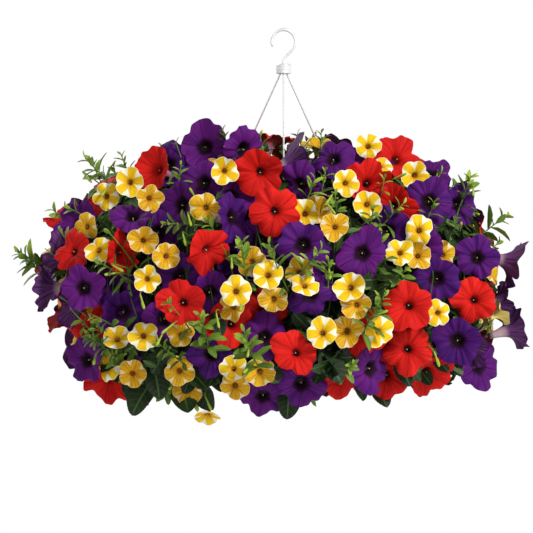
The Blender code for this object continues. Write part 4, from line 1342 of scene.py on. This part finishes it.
def petal_marks(finish):
    """Distance from the throat, lobe mark, broad and fine radial veins and tone, from the disc-shaped UV."""
    u, v = finish.uv()
    x, y = u * 2 - 1, v * 2 - 1
    rho = finish.maths("SQRT", x * x + y * y)
    angle = finish.maths("ARCTAN2", y, x)
    lobe = finish.maths("COSINE", angle * 5)
    cos, sin = finish.maths("COSINE", angle), finish.maths("SINE", angle)
    tone = finish.carried("tone")
    broad = finish.noise(finish.vector(cos * 3 + tone * 40, sin * 3, rho * 1.5), 1.0, 3.0)
    veins = finish.noise(finish.vector(cos * 13 + tone * 40, sin * 13, rho * 1.2), 1.0, 3.0, 0.6)
    return rho, lobe, broad, veins, tone


def petunia_petals(name, deep, rich, light, throat, dusk, lilac, star_reach, vein_depth):
    """Velvety petals: light fields between dark radial veins, near black in the throat, dusky behind."""
    finish = Finish(name, 0.7, Specular_IOR_Level=0.12)
    rho, lobe, broad, veins, tone = petal_marks(finish)
    vein = finish.smooth(veins, 0.42, 0.64)
    body = finish.mix(finish.smooth(broad + tone * 0.35, 0.35, 0.95), rich, light)
    body = finish.mix(vein * (1 - rho * 0.45) * vein_depth, body, deep)
    midrib = finish.smooth(lobe, 0.985, 1.0) * finish.smooth(rho, 0.25, 0.5)
    body = finish.mix(midrib * 0.6, body, deep)
    star = finish.smooth(star_reach + veins * 0.16 - rho + lobe * 0.03, 0.06, 0.24)
    body = finish.mix(star, body, throat)
    eye = finish.smooth(0.15 - rho, 0, 0.04)
    body = finish.mix(eye * 0.4, body, lilac)
    back = finish.mix(vein * 0.75, dusk, deep)
    back = finish.mix(finish.smooth(0.33 - rho, 0, 0.15), back, lilac)
    body = finish.mix(finish.carried("back"), body, back)
    return finish.paint(body, height=veins + midrib * -0.5, depth=0.0012, strength=0.6)


def calibrachoa_petals():
    """Lemon-yellow rays and white wedges that widen from the throat, golden when old, streaked behind."""
    finish = Finish("calibrachoa_petals", 0.65, Specular_IOR_Level=0.15)
    rho, lobe, broad, veins, _ = petal_marks(finish)
    age = finish.carried("age")
    away = finish.maths("ARCCOSINE", finish.maths("MINIMUM", finish.maths("MAXIMUM", lobe, -1.0), 1.0)) / 5
    half = 0.66 - 0.32 * finish.smooth(rho, 0.2, 0.9) + (veins - 0.5) * 0.2 + age * 0.1
    wedge = finish.smooth(away - half, -0.03, 0.05)
    white = finish.mix(broad, rgb(0.8, 0.77, 0.64), rgb(0.74, 0.68, 0.47))
    yellow = finish.mix(broad, rgb(0.76, 0.52, 0.006), rgb(0.66, 0.37, 0.003))
    gold = finish.mix(finish.smooth(veins, 0.45, 0.6), rgb(0.62, 0.36, 0.008), rgb(0.42, 0.19, 0.006))
    yellow = finish.mix(age, yellow, gold)
    body = finish.mix(wedge * (1 - age * 0.45), yellow, white)
    body = finish.mix(finish.smooth(rho, 0.93, 1.0) * (0.8 - age * 0.45), body, white)
    vein = finish.smooth(veins, 0.46, 0.58) * finish.smooth(0.66 - rho, 0, 0.4)
    body = finish.mix(vein * 0.8, body, rgb(0.42, 0.13, 0.006))
    throat = finish.smooth(0.3 - rho, 0, 0.14)
    body = finish.mix(throat * 0.85, body, rgb(0.35, 0.13, 0.012))
    back = finish.mix(finish.smooth(veins, 0.42, 0.58) * 0.6, rgb(0.8, 0.66, 0.22), rgb(0.66, 0.4, 0.02))
    body = finish.mix(finish.carried("back"), body, back)
    return finish.paint(body, height=veins, depth=0.0004, strength=0.4)


def foliage(name, dark, fresh, tip, vein_colour, ribs, roughness):
    """Leaves: pale midrib, side veins that sweep to the tip, mottled, fresher with the tone, pale beneath."""
    finish = Finish(name, roughness, Specular_IOR_Level=0.22)
    u, v = finish.uv()
    tone = finish.carried("tone")
    aside = finish.maths("ABSOLUTE", u - 0.5) * 2
    midrib = finish.smooth(0.11 - aside, 0, 0.07)
    saw = finish.maths("FRACT", v * ribs - aside * 1.4)
    side_vein = finish.smooth(finish.maths("ABSOLUTE", saw - 0.5), 0.4, 0.5)
    place = finish.place()
    mottle = finish.noise(place, 60.0, 3.0)
    fine = finish.noise(place, 900.0, 2.0)
    # Low tones draw the colour to the dark one; on the inner filling leaves this is painted shade.
    body = finish.mix(finish.smooth(mottle * 0.6 + tone * 0.9, 0.35, 1.05), dark, fresh)
    body = finish.mix(finish.smooth(tone + v * 0.25, 0.8, 1.25), body, tip)
    marks = finish.maths("MAXIMUM", midrib, side_vein * 0.4)
    body = finish.mix(marks * 0.6, body, vein_colour)
    body = finish.mix(finish.carried("back") * 0.5, body, vein_colour)
    rough = fine * 0.2 + (roughness - 0.1)
    return finish.paint(body, rough, fine * 0.3 - marks, depth=0.0005, strength=0.6)


def pollen():
    """Grainy yellow-green stigmas."""
    finish = Finish("pollen", 0.8)
    grain = finish.noise(finish.place(), 1500.0, 2.0)
    return finish.paint(finish.mix(grain, rgb(0.5, 0.48, 0.2), rgb(0.35, 0.4, 0.12)), height=grain)


def pot_plastic():
    """Moulded dark green plastic with a soft sheen, fine grain and a little dust."""
    finish = Finish("pot_plastic", 0.42, Coat_Weight=0.15, Coat_Roughness=0.3)
    place = finish.place()
    grain = finish.noise(place, 1400.0, 2.0)
    dust = finish.smooth(finish.noise(place, 25.0, 5.0), 0.5, 0.75)
    body = finish.mix(dust * 0.35, rgb(0.016, 0.032, 0.018), rgb(0.1, 0.09, 0.07))
    return finish.paint(body, dust * 0.25 + 0.38, grain, depth=0.0001, strength=0.4)


def peat():
    """Crumbly peat: brown grains of several sizes with pale specks."""
    finish = Finish("potting_soil", 0.95, Specular_IOR_Level=0.15)
    place = finish.place()
    crumbs = finish.noise(place, 180.0, 6.0, 0.65)
    specks = finish.smooth(finish.noise(place, 420.0, 1.0), 0.7, 0.74)
    body = finish.mix(crumbs, rgb(0.012, 0.007, 0.004), rgb(0.07, 0.04, 0.022))
    body = finish.mix(specks, body, rgb(0.55, 0.52, 0.46))
    return finish.paint(body, height=crumbs, depth=0.003, strength=1.0)


def perlite():
    """White puffed grains with fine pits."""
    finish = Finish("perlite", 0.9, Specular_IOR_Level=0.2)
    pits = finish.noise(finish.place(), 900.0, 3.0)
    body = finish.mix(pits, rgb(0.45, 0.43, 0.38), rgb(0.8, 0.79, 0.75))
    return finish.paint(body, height=pits, depth=0.0005, strength=0.8)


def galvanised():
    """Dull galvanised wire: grey spangle, a little stained."""
    finish = Finish("galvanised_wire", 0.42, Metallic=0.5)
    place = finish.place()
    spangle = finish.noise(place, 300.0, 3.0)
    stain = finish.smooth(finish.noise(place, 40.0, 4.0), 0.55, 0.75)
    body = finish.mix(spangle, rgb(0.68, 0.69, 0.7), rgb(0.82, 0.83, 0.83))
    body = finish.mix(stain * 0.3, body, rgb(0.45, 0.42, 0.37))
    return finish.paint(body, spangle * 0.25 + 0.25, spangle, depth=0.0001, strength=0.4)


def make_finishes():
    """Every material, by the name that the shapes use."""
    return {
        "purple_petals": petunia_petals(
            "purple_petals", rgb(0.011, 0.001, 0.03), rgb(0.037, 0.003, 0.098), rgb(0.105, 0.007, 0.145),
            rgb(0.014, 0.001, 0.012), rgb(0.13, 0.04, 0.15), rgb(0.4, 0.27, 0.3), 0.42, 0.4,
        ),
        "red_petals": petunia_petals(
            "red_petals", rgb(0.2, 0.002, 0.003), rgb(0.46, 0.005, 0.004), rgb(0.62, 0.012, 0.007),
            rgb(0.07, 0.001, 0.005), rgb(0.4, 0.05, 0.05), rgb(0.4, 0.16, 0.24), 0.22, 0.55,
        ),
        "calibrachoa_petals": calibrachoa_petals(),
        "petunia_foliage": foliage(
            "petunia_foliage", rgb(0.007, 0.018, 0.004), rgb(0.044, 0.1, 0.015), rgb(0.12, 0.22, 0.03),
            rgb(0.09, 0.18, 0.05), 7, 0.55,
        ),
        "calibrachoa_foliage": foliage(
            "calibrachoa_foliage", rgb(0.025, 0.052, 0.008), rgb(0.105, 0.19, 0.02), rgb(0.3, 0.4, 0.035),
            rgb(0.22, 0.36, 0.07), 5, 0.5,
        ),
        "pollen": pollen(),
        "pot_plastic": pot_plastic(),
        "soil": peat(),
        "perlite": perlite(),
        "galvanised_wire": galvanised(),
    }


# ---- Studio ----


CAMERA_TARGET = (-19.9, 0.0, -274.9)
SEEN_WIDTH = 623.6
SKY_BANDS = ((0.0, 0.8), (0.3, 0.85), (0.4, 1.0), (0.58, 1.0), (0.68, 0.4), (1.0, 0.4))
FLOOR_Z = -0.9
FLOOR_HALF = 1.9


def make_camera():
    """A long lens five metres from the mound's middle, three degrees above it."""
    camera = bpy.data.objects.new("camera", bpy.data.cameras.new("camera"))
    bpy.context.scene.collection.objects.link(camera)
    camera.data.lens = camera.data.sensor_width * EYE_DISTANCE / SEEN_WIDTH
    lift = math.atan(EYE_SLOPE)
    back = np.array((0, -math.cos(lift), math.sin(lift)))
    camera.location = np.array(CAMERA_TARGET) * MM + EYE_DISTANCE * MM * back
    camera.rotation_euler = (math.pi / 2 - lift, 0, 0)
    camera.data.clip_end = 100
    bpy.context.scene.camera = camera


def add_light(name, place, aim, size, power):
    """A round soft light at a place, turned to what it lights."""
    light = bpy.data.objects.new(name, bpy.data.lights.new(name, "AREA"))
    light.data.shape = "DISK"
    light.data.size = size
    light.data.energy = power
    light.location = place
    away = light.location - Vector(aim)
    light.rotation_euler = away.to_track_quat("Z", "Y").to_euler()
    bpy.context.scene.collection.objects.link(light)


def make_studio():
    """White surround that dims underneath, a key light from the upper right, and a pale floor well below."""
    scene = bpy.context.scene
    scene.view_settings.view_transform = "Standard"
    scene.world = bpy.data.worlds.new("studio")
    scene.world.use_nodes = True
    sky = Nodes(scene.world.node_tree)
    direction = sky.value("ShaderNodeTexCoord", output="Generated")
    up = Value(sky, sky.node("ShaderNodeSeparateXYZ", None, {0: direction}).outputs[2])
    height = sky.value("ShaderNodeMapRange", None, {"Value": up, "From Min": -1.0}, "Result")
    glow = sky.node("ShaderNodeValToRGB", {"stops": SKY_BANDS}, {"Fac": height})
    sky.tree.links.new(glow.outputs["Color"], sky.tree.nodes["Background"].inputs["Color"])
    middle = tuple(MOUND * MM)
    add_light("key_light", (1.7, -2.2, 1.4), middle, 0.7, 100)
    add_light("rear_light", (-1.6, 2.0, 1.4), middle, 1.4, 45)
    floor_finish = Finish("studio_floor", 0.9)
    floor_finish.shader.inputs["Base Color"].default_value = rgb(0.8, 0.8, 0.79)
    mesh = bpy.data.meshes.new("studio_floor")
    corners = [(-1, -1), (1, -1), (1, 1), (-1, 1)]
    mesh.from_pydata([(FLOOR_HALF * x, FLOOR_HALF * y, FLOOR_Z) for x, y in corners], [], [(0, 1, 2, 3)])
    mesh.materials.append(floor_finish.material)
    floor = bpy.data.objects.new("studio_floor", mesh)
    scene.collection.objects.link(floor)


def make_plants(finishes):
    """Every shoot as one piece in place of its frame node, and the filling of leaves as six more."""
    plants = Plants()
    more = [(kind, places, 0.0) for kind, places in MORE_BLOOMS.items()]
    for kind, places, age in [*more, ("yellow_calibrachoa", OLD_BLOOMS, 1.0)]:
        faces, ways = from_places(places)
        plants.add(kind, plants.settle(kind, faces, ways), ways, np.full(len(ways), age))
    fill_rear(plants)
    cover = Cover(plants.blooms)
    copies = []
    for grow in (grow_blooms, grow_sprigs, grow_buds, grow_leaves):
        copies += grow(plants, cover)
    for owner, (name, kind) in enumerate(zip(plants.names, plants.kinds)):
        piece = make_piece(f"{name}_bloom", copies, owner, finishes)
        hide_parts(name)
    filling = grow_filling(cover)
    for sector in range(SECTORS):
        piece = make_piece(f"inner_leaves_{sector + 1}", [filling], sector, finishes)


def main():
    """The whole object and the studio."""
    finishes = make_finishes()
    make_plants(finishes)
    make_pot(finishes)
    make_soil(finishes)
    make_hook(finishes)
    make_wires(finishes)
    make_camera()
    make_studio()


main()
